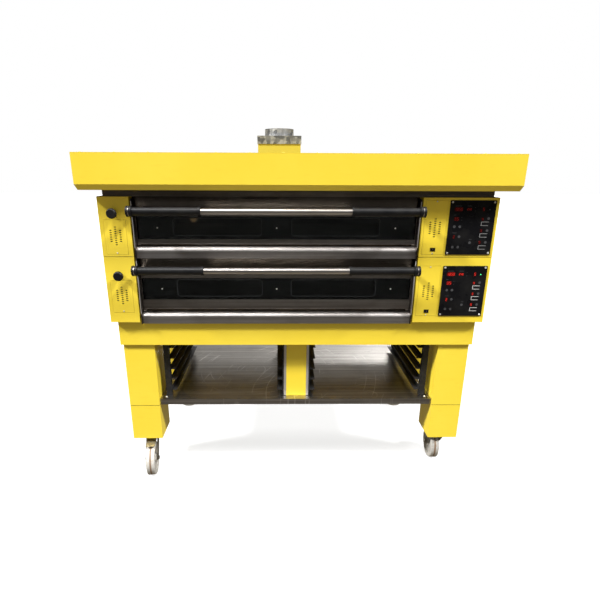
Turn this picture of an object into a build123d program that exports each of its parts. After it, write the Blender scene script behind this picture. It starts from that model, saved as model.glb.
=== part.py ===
from build123d import *
import os
from math import cos, radians, sin
from types import SimpleNamespace

os.makedirs("parts", exist_ok=True)

# Driving dimensions, in millimetres. X runs to the viewer's right, Y to the back, Z up from the floor.

# Overall body
deck_width = 1900
deck_depth = 890
back_recess = 4
sheet = 2
seam = 0.3
deck_seam = 1.2
panel_gap = 0.9
fit_gap = 0.06

# Heights, from the floor up
caster_head = 47
extension_height = 208
leg_height = 439
skirt_overlap = 74
hood_base_height = 31
bevel_drop = 25
hood_face_height = 137
duct_height = 54
cap_height = 39
collar_height = 38

# Door group: recess between the two front columns
left_column_width = 148.5
right_column_width = 362.5
recess_depth = 56
cheek_gap = 8
cheek_thick = 4
door_side_gap = 1.5
door_front = 30
door_thick = 24
glass_thick = 5
glass_height = 111
glass_margin = 3
window_width = 428
window_offset = 287
window_rise = 17.5
window_drop = 8.5
window_corner = 12
sill_drop = 9
sill_height = 54
sill_setback = 8
sill_nose = 22
sill_flange = 12
rest_gap = 1
header_side_gap = 10
header_setback = 28
pin_radius = 4
lug_radius = 8
lug_width = 12

# Handle
handle_reach = 78
bracket_inset = 8.5
tube_radius = 15
tube_wall = 1.5
grip_radius = 19
boss_radius = 25
boss_width = 25
grip_length = 311
bracket_thick = 5

# Chamber
chamber_margin = 34.5
stone_thick = 20
stone_count = 4
heater_radius = 4.25
heater_rows = 6
heater_space = 20
hanger_drop = 12
opening_drop = 12
ceiling_rise = 20
wool_side = 80
wool_back = 112
lamp_inset = 115
lamp_rise = 32
lamp_radius = 17
sleeve_front = 425
sleeve_length = 80
riser_radius = 28

# Knob, damper and switch
knob_inset = 74
knob_radius = 25
knob_reach = 42
rod_radius = 5
rod_length = 430
knob_bore_depth = 25.7
switch_width = 24
switch_height = 17
switch_drop = 105
switch_pin = 1.5

# Front panels
left_panel_inset = 72
left_panel_width = 106
left_panel_height = 168
right_panel_inset = 297
right_panel_width = 105
right_panel_height = 260
slot_length = 11
slot_height = 5
slot_pitch = 10.6
slot_columns = (6, 9, 6)
slot_column_pitch = 23
control_inset = 124.6
control_width = 220
control_height = 260
control_thick = 3

# Stand
leg_width = 162
leg_depth = 165
leg_inset = 36
leg_wall = 3
foot_thick = 6
skirt_inset = 25
ring_tube = 60
shelf_lip = 33
shelf_setback = 47
rack_front = 86
rack_back = 190
rack_upright = 25
rack_leg_gap = 29
outer_upright_width = 30
inner_upright_x = 74
inner_upright_width = 19
runner_flange = 30
runner_leg = 20
runner_levels = 5
runner_drop = 119
runner_rise = 35.3
centre_panel_front = 85

# Hood and flue
hood_overhang = 66
bevel_inset = 10
hood_lip = 15
hood_base_inset = 26
base_front = 10
flue_x = -94
flue_y = 348
duct_size = 216
cap_size = 222
collar_radius = 75
collar_wall = 1.5

# Casters
wheel_radius = 90
wheel_width = 48
axle_radius = 6
fork_plate = 5
fork_gap = 4
caster_trail = 75
foot_plate = 110
foot_plate_thick = 8
race_radius = 38
race_height = 15
kingpin_radius = 8
nut_radius = 10
nut_thick = 6
pedal_width = 52
pedal_pin = 3
pedal_pin_x = 22
pedal_pin_drop = 12
swivel_rest = {"front_left": 8, "front_right": 176, "rear_left": 100, "rear_right": 262}

# Each deck has its own height, door and panel heights, all above its own floor.
# Front and back of the whole oven are as far from the origin as each other.
front_y = -(deck_depth + handle_reach + boss_radius) / 2 + handle_reach + boss_radius
back_y = front_y + deck_depth
half_width = deck_width / 2
leg_base = 2 * wheel_radius + caster_head
leg_joint = leg_base + extension_height
ring_base = leg_joint + leg_height
skirt_base = ring_base - skirt_overlap
deck_base = ring_base + ring_tube


def make_deck(name, base, height, door, door_top, glass, handle, knob, left_panel, control):
    """Levels of one deck; each argument after its height is a rise above its floor."""
    deck = SimpleNamespace(name=name, base=base, top=base + height)
    deck.sill = base - sill_drop
    deck.sill_top = deck.sill + sill_height
    deck.door = base + door
    deck.door_top = base + door_top
    deck.glass = base + glass
    deck.handle = base + handle
    deck.knob = base + knob
    deck.left_panel = base + left_panel
    deck.control = base + control
    deck.pivot = deck.sill_top + door_thick / 2 + rest_gap
    deck.stone_top = deck.sill_top + door_thick + 2 * rest_gap
    deck.opening_top = deck.door_top - opening_drop
    deck.ceiling = deck.opening_top + ceiling_rise
    deck.liner_floor = deck.stone_top - stone_thick - heater_space
    return deck


lower = make_deck("lower", deck_base, 339, 63, 274, 114, 286.5, 248.5, 137, 166)
upper = make_deck("upper", lower.top, 286, 57, 207, 81, 224, 209.5, 95, 143)
decks = (lower, upper)

base_top = upper.top + hood_base_height
face_base = base_top + bevel_drop
hood_top = face_base + hood_face_height
duct_top = hood_top + duct_height
cap_top = duct_top + cap_height
collar_top = cap_top + collar_height

recess_left = -half_width + left_column_width
recess_right = half_width - right_column_width
recess_width = recess_right - recess_left
door_centre_x = (recess_left + recess_right) / 2
cheek_half = recess_width / 2 - cheek_gap
door_half = cheek_half - cheek_thick - door_side_gap
pivot_y = front_y + door_front + door_thick / 2
door_y = front_y + door_front
frame_y = front_y + recess_depth
handle_y = front_y - handle_reach
chamber_front = frame_y + sheet
chamber_back = back_y - wool_back
chamber_left = recess_left + chamber_margin
chamber_right = recess_right - chamber_margin
chamber_width = chamber_right - chamber_left
chamber_depth = chamber_back - chamber_front
wool_left = chamber_left - sheet - wool_side
wool_right = chamber_right + sheet + wool_side
casing_back = back_y - back_recess
sleeve_y = (front_y + sleeve_front, front_y + sleeve_front + sleeve_length)
sleeve_drop = (-20, 4)
riser_x = (-half_width + wool_left) / 2
riser_y = (sleeve_y[0] + sleeve_y[1]) / 2
rod_brackets = (front_y + 130, front_y + 300)
window_height = glass_height - window_rise - window_drop
knob_x = -half_width + knob_inset
left_panel_x = -half_width + left_panel_inset
right_panel_x = half_width - right_panel_inset
control_x = half_width - control_inset


def block(x, y, z, mode=Mode.ADD):
    """Box between low and high values on each axis."""
    with Locations(((x[0] + x[1]) / 2, (y[0] + y[1]) / 2, (z[0] + z[1]) / 2)):
        Box(x[1] - x[0], y[1] - y[0], z[1] - z[0], mode=mode)


def round_bar(plane, radius, length, bore=0, mode=Mode.ADD):
    """Bar or tube that starts on a plane and runs along its normal."""
    with BuildSketch(plane) as ring:
        Circle(radius)
        if bore:
            Circle(bore, mode=Mode.SUBTRACT)
    extrude(ring.sketch, amount=length, mode=mode)


def square_tube(plane, width, depth, length):
    """Hollow tube with flat sides that starts on a plane and runs along its normal."""
    with BuildSketch(plane) as outline:
        Rectangle(width, depth)
        Rectangle(width - 2 * leg_wall, depth - 2 * leg_wall, mode=Mode.SUBTRACT)
    extrude(outline.sketch, amount=length)


def facing_x(x, y, z):
    return Plane(origin=(x, y, z), x_dir=(0, 1, 0), z_dir=(1, 0, 0))


def facing_back(x, y, z):
    return Plane(origin=(x, y, z), x_dir=(-1, 0, 0), z_dir=(0, 1, 0))


def save(piece, name):
    piece.part.label = name
    export_step(piece.part, f"parts/{name}.step")


def slots_at(x, z, y):
    """Rows of short vent slots, cut through a front panel."""
    for column, count in enumerate(slot_columns):
        slot_x = x + (column - 1) * slot_column_pitch
        with BuildSketch(facing_back(slot_x, y - 1, z)) as slots:
            with GridLocations(slot_length, slot_pitch, 1, count):
                SlotOverall(slot_length, slot_height)
        extrude(slots.sketch, amount=sheet + 2, mode=Mode.SUBTRACT)


# Decks: fixed pieces
for deck in decks:
    inner_back = casing_back - sheet
    floor_top = deck.base + sheet
    roof = deck.top - sheet

    # Outer casing: two sides, back, floor and roof sheets
    with BuildPart() as casing:
        for low in (-half_width, half_width - sheet):
            block((low, low + sheet), (front_y + sheet + seam, back_y), (deck.base, deck.top))
        inside = (-half_width + sheet + seam, half_width - sheet - seam)
        block(inside, (inner_back, casing_back), (deck.base, deck.top))
        plate_y = (frame_y + sheet + seam, inner_back - seam)
        block(inside, plate_y, (deck.base, floor_top))
        block(inside, plate_y, (roof, deck.top))
        with Locations((riser_x, riser_y, deck.top)):
            Cylinder(riser_radius, 4 * sheet, mode=Mode.SUBTRACT)
        # Two brackets on the floor sheet carry the damper rod.
        for bracket_y in rod_brackets:
            bracket_x = (knob_x - 14, knob_x + 14)
            block(bracket_x, (bracket_y, bracket_y + 3), (floor_top + seam, deck.knob + 14))
            rod_hole = facing_back(knob_x, bracket_y - 1, deck.knob)
            round_bar(rod_hole, rod_radius + fit_gap, 5, mode=Mode.SUBTRACT)
    save(casing, f"{deck.name}_casing")

    # Left front column: folded sheet with an opening behind its vent panel and a hole for the rod
    with BuildPart() as left_column:
        column_z = (deck.base + deck_seam, deck.top - deck_seam)
        block((-half_width, recess_left), (front_y, front_y + sheet), column_z)
        block((recess_left - sheet, recess_left), (front_y, frame_y - seam), column_z)
        panel_z = (deck.left_panel - left_panel_height / 2, deck.left_panel + left_panel_height / 2)
        panel_x = (left_panel_x - left_panel_width / 2, left_panel_x + left_panel_width / 2)
        block(panel_x, (front_y - 1, front_y + sheet + 1), panel_z, mode=Mode.SUBTRACT)
        rod_hole = facing_back(knob_x, front_y - 1, deck.knob)
        round_bar(rod_hole, rod_radius + fit_gap, sheet + 2, mode=Mode.SUBTRACT)
    save(left_column, f"{deck.name}_left_column")

    # Right front column: wide folded sheet, open behind the vent panel and the control panel
    with BuildPart() as right_column:
        block((recess_right, half_width), (front_y, front_y + sheet), column_z)
        block((recess_right, recess_right + sheet), (front_y, frame_y - seam), column_z)
        right_z = (deck.control - right_panel_height / 2, deck.control + right_panel_height / 2)
        right_x = (right_panel_x - right_panel_width / 2, right_panel_x + right_panel_width / 2)
        block(right_x, (front_y - 1, front_y + sheet + 1), right_z, mode=Mode.SUBTRACT)
        board_x = (control_x - control_width / 2 + 12, control_x + control_width / 2 - 12)
        board_z = (deck.control - control_height / 2 + 12, deck.control + control_height / 2 - 12)
        block(board_x, (front_y - 1, front_y + sheet + 1), board_z, mode=Mode.SUBTRACT)
    save(right_column, f"{deck.name}_right_column")

    # Vent panels: two flush covers with slots; the right one has the switch's cut-out
    with BuildPart() as access_panels:
        block(
            (panel_x[0] + panel_gap, panel_x[1] - panel_gap),
            (front_y - 0.4, front_y + sheet - 0.4),
            (panel_z[0] + panel_gap, panel_z[1] - panel_gap),
        )
        slots_at(left_panel_x, deck.left_panel + 6, front_y - 0.4)
        block(
            (right_x[0] + panel_gap, right_x[1] - panel_gap),
            (front_y - 0.4, front_y + sheet - 0.4),
            (right_z[0] + panel_gap, right_z[1] - panel_gap),
        )
        slots_at(right_panel_x, deck.control, front_y - 0.4)
        switch_z = deck.control - switch_drop
        block(
            (right_panel_x - switch_width / 2 + 1.5, right_panel_x + switch_width / 2 - 1.5),
            (front_y - 2, front_y + sheet + 2),
            (switch_z - switch_height / 2 + 1.5, switch_z + switch_height / 2 - 1.5),
            mode=Mode.SUBTRACT,
        )
    save(access_panels, f"{deck.name}_vent_panels")

    # Control panel: flat black plate over the opening in the right column
    with BuildPart() as control_panel:
        block(
            (control_x - control_width / 2, control_x + control_width / 2),
            (front_y - control_thick, front_y),
            (deck.control - control_height / 2, deck.control + control_height / 2),
        )
        fillet(control_panel.edges().filter_by(Axis.Y), 3)
    save(control_panel, f"{deck.name}_control_panel")

    # Rocker switch, which tilts on its own pin
    with BuildPart() as rocker:
        with BuildSketch(facing_x(right_panel_x - 7.7, front_y + 7, switch_z)):
            with BuildLine():
                Polyline(
                    (-9.8, -4.4), (-10.6, 0), (-11.8, 4.4), (-2, 4), (3, 2), (3, -2), (-2, -4), (-9.8, -4.4)
                )
            make_face()
        extrude(amount=15.4)
        round_bar(facing_x(right_panel_x - 10.2, front_y + 7, switch_z), switch_pin, 20.4)
    save(rocker, f"{deck.name}_rocker")

    # Sill: folded sheet in front of the door, with a rounded front that hangs over the seam below
    with BuildPart() as sill:
        sill_half = cheek_half - cheek_thick - seam
        with BuildSketch(facing_x(door_centre_x - sill_half, front_y, deck.sill)):
            with BuildLine():
                Line((recess_depth - seam, sill_height), (sill_setback + sill_nose, sill_height))
                RadiusArc(
                    (sill_setback + sill_nose, sill_height), (sill_setback, sill_height - sill_nose), -sill_nose
                )
                Line((sill_setback, sill_height - sill_nose), (sill_setback, 0))
                Line((sill_setback, 0), (sill_setback + sill_flange, 0))
                Line((sill_setback + sill_flange, 0), (sill_setback + sill_flange, sheet))
                Line((sill_setback + sill_flange, sheet), (sill_setback + sheet, sheet))
                Line((sill_setback + sheet, sheet), (sill_setback + sheet, sill_height - sill_nose))
                RadiusArc(
                    (sill_setback + sheet, sill_height - sill_nose),
                    (sill_setback + sill_nose, sill_height - sheet),
                    sill_nose - sheet,
                )
                Line((sill_setback + sill_nose, sill_height - sheet), (recess_depth - seam, sill_height - sheet))
                Line((recess_depth - seam, sill_height - sheet), (recess_depth - seam, sill_height))
            make_face()
        extrude(amount=2 * sill_half)
    save(sill, f"{deck.name}_sill")

    # Door surround: a cheek plate at each side of the recess, which carries the hinge pin, and the
    # header sheet above the door, with a slit at each end of it
    with BuildPart() as surround:
        for side in (-1, 1):
            cheek_x = door_centre_x + side * cheek_half - (0 if side < 0 else cheek_thick)
            with BuildSketch(facing_x(cheek_x, front_y, 0)):
                with BuildLine():
                    Polyline(
                        (recess_depth - seam, deck.base + deck_seam),
                        (recess_depth - seam, deck.top - sill_drop - deck_seam),
                        (-sheet, deck.top - sill_drop - deck_seam),
                        (-sheet, deck.sill),
                        (sill_setback + sill_flange, deck.sill),
                        (sill_setback + sill_flange, deck.base + deck_seam),
                        (recess_depth - seam, deck.base + deck_seam),
                    )
                make_face()
                with Locations((door_front + door_thick / 2, deck.pivot)):
                    Circle(pin_radius + fit_gap, mode=Mode.SUBTRACT)
            extrude(amount=cheek_thick)
        header_half = cheek_half - cheek_thick - header_side_gap
        header_x = (door_centre_x - header_half, door_centre_x + header_half)
        header_base = deck.door_top + 4
        header_y = (front_y + header_setback, frame_y - seam)
        block(header_x, (header_y[0], header_y[0] + sheet), (header_base, deck.top - seam))
        block(header_x, header_y, (header_base, header_base + sheet))
    save(surround, f"{deck.name}_door_surround")

    # Chamber: front frame, floor, two sides, ceiling, back, and a sleeve that lets steam out
    sleeve_z = (deck.opening_top + sleeve_drop[0], deck.opening_top + sleeve_drop[1])
    with BuildPart() as chamber:
        frame_x = (recess_left - 20, recess_right + 20)
        between = (chamber_left + seam, chamber_right - seam)
        block(between, (frame_y, chamber_front), (deck.base + seam, deck.stone_top - sheet))
        block(between, (frame_y, chamber_front), (deck.opening_top, deck.top - 4))
        for x_low, x_high in ((frame_x[0], chamber_left), (chamber_right, frame_x[1])):
            block((x_low, x_high), (frame_y, chamber_front), (deck.base + seam, deck.top - 4))
        liner_y = (chamber_front + seam, chamber_back)
        for low in (chamber_left - sheet, chamber_right):
            block((low, low + sheet), liner_y, (deck.liner_floor - sheet, deck.ceiling + sheet))
        block(between, liner_y, (deck.liner_floor - sheet, deck.liner_floor))
        block(between, liner_y, (deck.ceiling, deck.ceiling + sheet))
        back_x = (chamber_left - sheet, chamber_right + sheet)
        back_panel_y = (chamber_back + seam, chamber_back + seam + sheet)
        block(back_x, back_panel_y, (deck.liner_floor - sheet, deck.ceiling + sheet))
        sleeve_x = (wool_left - 1, chamber_left - sheet + 0.5)
        block(sleeve_x, sleeve_y, sleeve_z)
        hollow_y = (sleeve_y[0] + sheet, sleeve_y[1] - sheet)
        hollow_z = (sleeve_z[0] + sheet, sleeve_z[1] - sheet)
        block((wool_left - 3, chamber_left + 1), hollow_y, hollow_z, mode=Mode.SUBTRACT)
        # Ledges under the stones, and hangers for the upper heaters
        for ledge_y in (chamber_front + 20, (chamber_front + chamber_back) / 2, chamber_back - 20):
            ledge_top = deck.stone_top - stone_thick
            block(between, (ledge_y - 6, ledge_y + 6), (deck.liner_floor, ledge_top))
        for hanger_x in (chamber_left + 220, chamber_right - 220):
            hanger_y = (chamber_front + 60, chamber_back - 60)
            block((hanger_x, hanger_x + 3), hanger_y, (deck.ceiling - hanger_drop, deck.ceiling))
    save(chamber, f"{deck.name}_chamber")

    # Baking stones: tiles side by side on the ledges
    with BuildPart() as stones:
        tile_width = (chamber_width - 4) / stone_count
        for tile in range(stone_count):
            tile_left = chamber_left + 2 + tile * tile_width
            block(
                (tile_left + 0.5, tile_left + tile_width - 0.5),
                (chamber_front + 3, chamber_back - 3),
                (deck.stone_top - stone_thick, deck.stone_top),
            )
    save(stones, f"{deck.name}_baking_stones")

    # Heating elements: straight rods across the chamber, above the food and under the stones
    with BuildPart() as heaters:
        row_pitch = (chamber_depth - 160) / (heater_rows - 1)
        over_z = deck.ceiling - hanger_drop - heater_radius - seam
        under_z = deck.liner_floor + heater_radius + seam
        for row in range(heater_rows):
            row_y = chamber_front + 80 + row * row_pitch
            for row_z in (over_z, under_z):
                rod_start = facing_x(chamber_left + 0.5, row_y, row_z)
                round_bar(rod_start, heater_radius, chamber_width - 1)
        # The middle ledge crosses no rod, so each lower rod lies free between two ledges.
    save(heaters, f"{deck.name}_heating_elements")

    # Steam damper: pull knob on a rod that carries the gate over the sleeve's mouth
    with BuildPart() as knob:
        with BuildSketch(Plane(origin=(knob_x, front_y, deck.knob), x_dir=(1, 0, 0), z_dir=(0, 0, 1))):
            with BuildLine():
                Polyline((0, -knob_reach), (knob_radius - 6, -knob_reach))
                RadiusArc((knob_radius - 6, -knob_reach), (knob_radius - 6, -knob_reach + 22), -14)
                Polyline((knob_radius - 6, -knob_reach + 22), (11, -knob_reach + 27), (11, -1), (0, -1),
                         (0, -knob_reach))
            make_face()
        revolve(axis=Axis((knob_x, front_y, deck.knob), (0, 1, 0)))
        bore_start = facing_back(knob_x, front_y - knob_bore_depth - seam, deck.knob)
        round_bar(bore_start, rod_radius + seam / 2, knob_bore_depth + 4, mode=Mode.SUBTRACT)
    save(knob, f"{deck.name}_damper_knob")

    with BuildPart() as rod:
        rod_start = facing_back(knob_x, front_y - knob_bore_depth, deck.knob)
        round_bar(rod_start, rod_radius, knob_bore_depth + rod_length)
        gate_z = (sleeve_z[0] - 8, max(sleeve_z[1] + 8, deck.knob + 8))
        block((wool_left - 4, wool_left - 1.6), (sleeve_y[0] - 6, sleeve_y[1] + 6), gate_z)
        arm_y = (sleeve_y[0] - 6, sleeve_y[0] + 14)
        block((knob_x, wool_left - 2), arm_y, (deck.knob - 3, deck.knob + 3))
    save(rod, f"{deck.name}_damper_rod")

# Doors: frame with two windows, glass, handle tube and grips
for deck in decks:
    door_x = (door_centre_x - door_half, door_centre_x + door_half)
    glass_x = (door_x[0] + glass_margin, door_x[1] - glass_margin)
    glass_top = deck.glass + glass_height
    with BuildPart() as door_frame:
        block(door_x, (door_y, door_y + door_thick), (deck.door, deck.door_top))
        fillet(door_frame.edges().filter_by(Axis.X).group_by(Axis.Y)[0], 2)
        rebate_y = (door_y - 1, door_y + glass_thick + seam)
        block(glass_x, rebate_y, (deck.glass, glass_top), mode=Mode.SUBTRACT)
        hollow_y = (door_y + glass_thick + seam + sheet, door_y + door_thick - sheet)
        block(
            (door_x[0] + sheet, door_x[1] - sheet),
            hollow_y,
            (deck.door + sheet, deck.door_top - sheet),
            mode=Mode.SUBTRACT,
        )
        # Each window has its own rim through the hollow door.
        window_middle = deck.glass + window_rise + window_height / 2
        window_plane = facing_back(door_centre_x, hollow_y[0] - 1, window_middle)
        with BuildSketch(window_plane):
            with GridLocations(2 * window_offset, 1, 2, 1):
                RectangleRounded(window_width, window_height, window_corner)
        extrude(amount=hollow_y[1] - hollow_y[0] + 2)
        with BuildSketch(window_plane.offset(-3)):
            with GridLocations(2 * window_offset, 1, 2, 1):
                RectangleRounded(
                    window_width - 2 * sheet, window_height - 2 * sheet, window_corner - sheet
                )
        extrude(amount=door_thick + 1, mode=Mode.SUBTRACT)
        for side in (-1, 1):
            end_x = door_centre_x + side * door_half
            lug_x = sorted((end_x, end_x - side * lug_width))
            lug_start = facing_x(lug_x[0], pivot_y, deck.pivot)
            round_bar(lug_start, lug_radius, lug_width)
            block(lug_x, (pivot_y - lug_radius, pivot_y + lug_radius), (deck.pivot, deck.door + 4))
            pin_length = door_side_gap + cheek_thick
            pin_start = facing_x(end_x if side > 0 else end_x - pin_length, pivot_y, deck.pivot)
            round_bar(pin_start, pin_radius, pin_length)
            # Bracket that carries the handle in front of the door
            plate_x = end_x - side * bracket_inset - (0 if side < 0 else bracket_thick)
            eye = (-handle_reach, deck.handle)
            foot = max(glass_top + 3, deck.door_top - 30)
            with BuildSketch(facing_x(plate_x, front_y, 0)):
                with BuildLine():
                    Polyline(
                        (door_front - seam, foot),
                        (eye[0] + 4, eye[1] - boss_radius + 5),
                        (eye[0] + 4, eye[1] + boss_radius - 6),
                        (door_front - 6, deck.door_top - 3),
                        (door_front - seam, deck.door_top - 3),
                        (door_front - seam, foot),
                    )
                make_face()
                with Locations(eye):
                    Circle(boss_radius - 3)
                    Circle(tube_radius + seam, mode=Mode.SUBTRACT)
            extrude(amount=bracket_thick)
    save(door_frame, f"{deck.name}_door_frame")

    # Glass: one printed sheet that fills the rebate in the frame
    with BuildPart() as glass:
        block(
            (glass_x[0] + seam, glass_x[1] - seam),
            (door_y, door_y + glass_thick),
            (deck.glass + seam, glass_top - seam),
        )
    save(glass, f"{deck.name}_door_glass")

    with BuildPart() as handle_tube:
        tube_half = door_half - 2
        tube_start = facing_x(door_centre_x - tube_half, handle_y, deck.handle)
        round_bar(tube_start, tube_radius, 2 * tube_half, bore=tube_radius - tube_wall)
    save(handle_tube, f"{deck.name}_handle_tube")

    # Grips: per side an end cap, an inner boss and a sleeve with a raised inner end
    with BuildPart() as grips:
        bore = tube_radius + seam
        outside = bracket_inset - seam
        inside = boss_width - bracket_inset - bracket_thick - seam
        for side in (-1, 1):
            end_x = door_centre_x + side * door_half
            cap_low = end_x if side < 0 else end_x - outside
            round_bar(facing_x(cap_low, handle_y, deck.handle), boss_radius, outside, bore=bore)
            face_low = end_x if side < 0 else end_x - 1.5
            round_bar(facing_x(face_low, handle_y, deck.handle), bore + 1, 1.5)
            inner_end = end_x - side * (bracket_inset + bracket_thick + seam)
            boss_low = inner_end if side < 0 else inner_end - inside
            round_bar(facing_x(boss_low, handle_y, deck.handle), boss_radius, inside, bore=bore)
            sleeve_end = end_x - side * boss_width
            sleeve_low = sleeve_end if side < 0 else sleeve_end - grip_length
            round_bar(facing_x(sleeve_low, handle_y, deck.handle), grip_radius, grip_length, bore=bore)
            ring_low = sleeve_end + grip_length - 12 if side < 0 else sleeve_end - grip_length
            round_bar(facing_x(ring_low, handle_y, deck.handle), grip_radius + 2.5, 12, bore=bore)
    save(grips, f"{deck.name}_handle_grips")

# Insulation: wool slabs between each chamber and its casing
with BuildPart() as wool:
    for deck in decks:
        wool_y = (chamber_front + seam, casing_back - sheet - seam)
        behind_y = (chamber_back + 2 * seam + sheet, wool_y[1])
        low_z = (deck.base + sheet + seam, deck.liner_floor - sheet - seam)
        high_z = (deck.ceiling + sheet + seam, deck.top - sheet - seam)
        middle_z = (low_z[1] + seam, high_z[0] - seam)
        across = (wool_left, wool_right)
        block(across, wool_y, low_z)
        block(across, wool_y, high_z)
        left_slab = (wool_left, chamber_left - sheet - seam)
        right_slab = (chamber_right + sheet + seam, wool_right)
        for slab in (left_slab, right_slab):
            block(slab, (wool_y[0], chamber_back), middle_z)
        block(across, behind_y, middle_z)
        block(
            (wool_left - 5, chamber_left + 5),
            (sleeve_y[0] - seam, sleeve_y[1] + seam),
            (deck.opening_top + sleeve_drop[0] - seam, deck.opening_top + sleeve_drop[1] + seam),
            mode=Mode.SUBTRACT,
        )
save(wool, "insulation")

# Switch bezels: per switch a thin plate with two ears, which hold the rocker's pin
with BuildPart() as bezels:
    for deck in decks:
        switch_z = deck.control - switch_drop
        bezel_y = (front_y - 2, front_y - 0.4)
        block(
            (right_panel_x - switch_width / 2, right_panel_x + switch_width / 2),
            bezel_y,
            (switch_z - switch_height / 2, switch_z + switch_height / 2),
        )
        for side in (-1, 1):
            ear_x = sorted((right_panel_x + side * 8.2, right_panel_x + side * 10.2))
            block(ear_x, (bezel_y[1] - 1, front_y + 12), (switch_z - 5, switch_z + 5))
        block(
            (right_panel_x - 8, right_panel_x + 8),
            (bezel_y[0] - 1, front_y + 14),
            (switch_z - 6.6, switch_z + 6.6),
            mode=Mode.SUBTRACT,
        )
        pin_hole = facing_x(right_panel_x - 12, front_y + 7, switch_z)
        round_bar(pin_hole, switch_pin + fit_gap, 24, mode=Mode.SUBTRACT)
save(bezels, "switch_bezels")

# Lamps: a holder and a bulb, low on each chamber's back wall
with BuildPart() as lamps:
    for deck in decks:
        lamp_z = deck.stone_top + lamp_rise
        lamp_x = chamber_left + lamp_inset
        holder = Plane(origin=(lamp_x, chamber_back, lamp_z), x_dir=(1, 0, 0), z_dir=(0, -1, 0))
        round_bar(holder, lamp_radius + 5, 8)
        with Locations((lamp_x, chamber_back - lamp_radius - 3, lamp_z)):
            Sphere(lamp_radius)
save(lamps, "chamber_lamps")

# Control electronics: a board on standoffs behind each control panel
with BuildPart() as boards:
    for deck in decks:
        block(
            (control_x - 90, control_x + 90),
            (front_y + 20, front_y + 22),
            (deck.control - 105, deck.control + 105),
        )
        for foot_x in (-80, 80):
            for foot_z in (-95, 95):
                foot = facing_back(control_x + foot_x, front_y + seam, deck.control + foot_z)
                round_bar(foot, 4, 20)
        block(
            (control_x - 60, control_x + 20),
            (front_y + 22, front_y + 62),
            (deck.control - 70, deck.control - 10),
        )
save(boards, "control_boards")

# Stand: ring of square tube on four box legs
leg_outer = half_width - leg_inset
leg_inner = leg_outer - leg_width
leg_front = front_y + leg_inset
leg_back = back_y - leg_inset
ring_top = deck_base
skirt_x = half_width - skirt_inset
skirt_y = (front_y + skirt_inset, back_y - skirt_inset)
ring_x = skirt_x - sheet - seam
ring_y = (skirt_y[0] + sheet + seam, skirt_y[1] - sheet - seam)
leg_mid = (leg_outer + leg_inner) / 2
front_mid = leg_front + leg_depth / 2
rear_mid = leg_back - leg_depth / 2
leg_places = [(x, y) for y in (front_mid, rear_mid) for x in (-leg_mid, leg_mid)]

with BuildPart() as stand_frame:
    for y_low in (ring_y[0], ring_y[1] - ring_tube):
        tube_end = facing_x(-ring_x, y_low + ring_tube / 2, ring_top - ring_tube / 2)
        square_tube(tube_end, ring_tube, ring_tube, 2 * ring_x)
    for x_mid in (-ring_x + ring_tube / 2, 0, ring_x - ring_tube / 2):
        tube_end = facing_back(x_mid, ring_y[0] + ring_tube + seam, ring_top - ring_tube / 2)
        square_tube(tube_end, ring_tube, ring_tube, ring_y[1] - ring_y[0] - 2 * (ring_tube + seam))
    for leg_x, leg_y in leg_places:
        leg_foot = Plane(origin=(leg_x, leg_y, leg_joint + seam), x_dir=(1, 0, 0), z_dir=(0, 0, 1))
        square_tube(leg_foot, leg_width, leg_depth, ring_base - leg_joint - 2 * seam)
save(stand_frame, "stand_frame")

with BuildPart() as skirt:
    skirt_z = (skirt_base, ring_top - seam)
    for y_low in (skirt_y[0], skirt_y[1] - sheet):
        block((-skirt_x, skirt_x), (y_low, y_low + sheet), skirt_z)
    for x_low in (-skirt_x, skirt_x - sheet):
        block((x_low, x_low + sheet), (skirt_y[0] + sheet + seam, skirt_y[1] - sheet - seam), skirt_z)
save(skirt, "stand_skirt")

with BuildPart() as extensions:
    for leg_x, leg_y in leg_places:
        foot = Plane(origin=(leg_x, leg_y, leg_base), x_dir=(1, 0, 0), z_dir=(0, 0, 1))
        square_tube(foot, leg_width, leg_depth, extension_height - seam)
        with Locations((leg_x, leg_y, leg_base + foot_thick / 2)):
            Box(leg_width - leg_wall, leg_depth - leg_wall, foot_thick)
save(extensions, "leg_extensions")

# Shelf: folded tray between the legs
shelf_top = leg_joint - seam + shelf_lip
shelf_y = (front_y + shelf_setback, leg_back - 10)
shelf_x = leg_inner - seam
with BuildPart() as shelf:
    shelf_base = shelf_top - shelf_lip
    block((-shelf_x, shelf_x), shelf_y, (shelf_top - sheet, shelf_top))
    for y_low in (shelf_y[0], shelf_y[1] - sheet):
        block((-shelf_x, shelf_x), (y_low, y_low + sheet), (shelf_base, shelf_top - sheet - seam))
    for x_low in (-shelf_x, shelf_x - sheet):
        block(
            (x_low, x_low + sheet),
            (shelf_y[0] + sheet + seam, shelf_y[1] - sheet - seam),
            (shelf_base, shelf_top - sheet - seam),
        )
save(shelf, "shelf")

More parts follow.
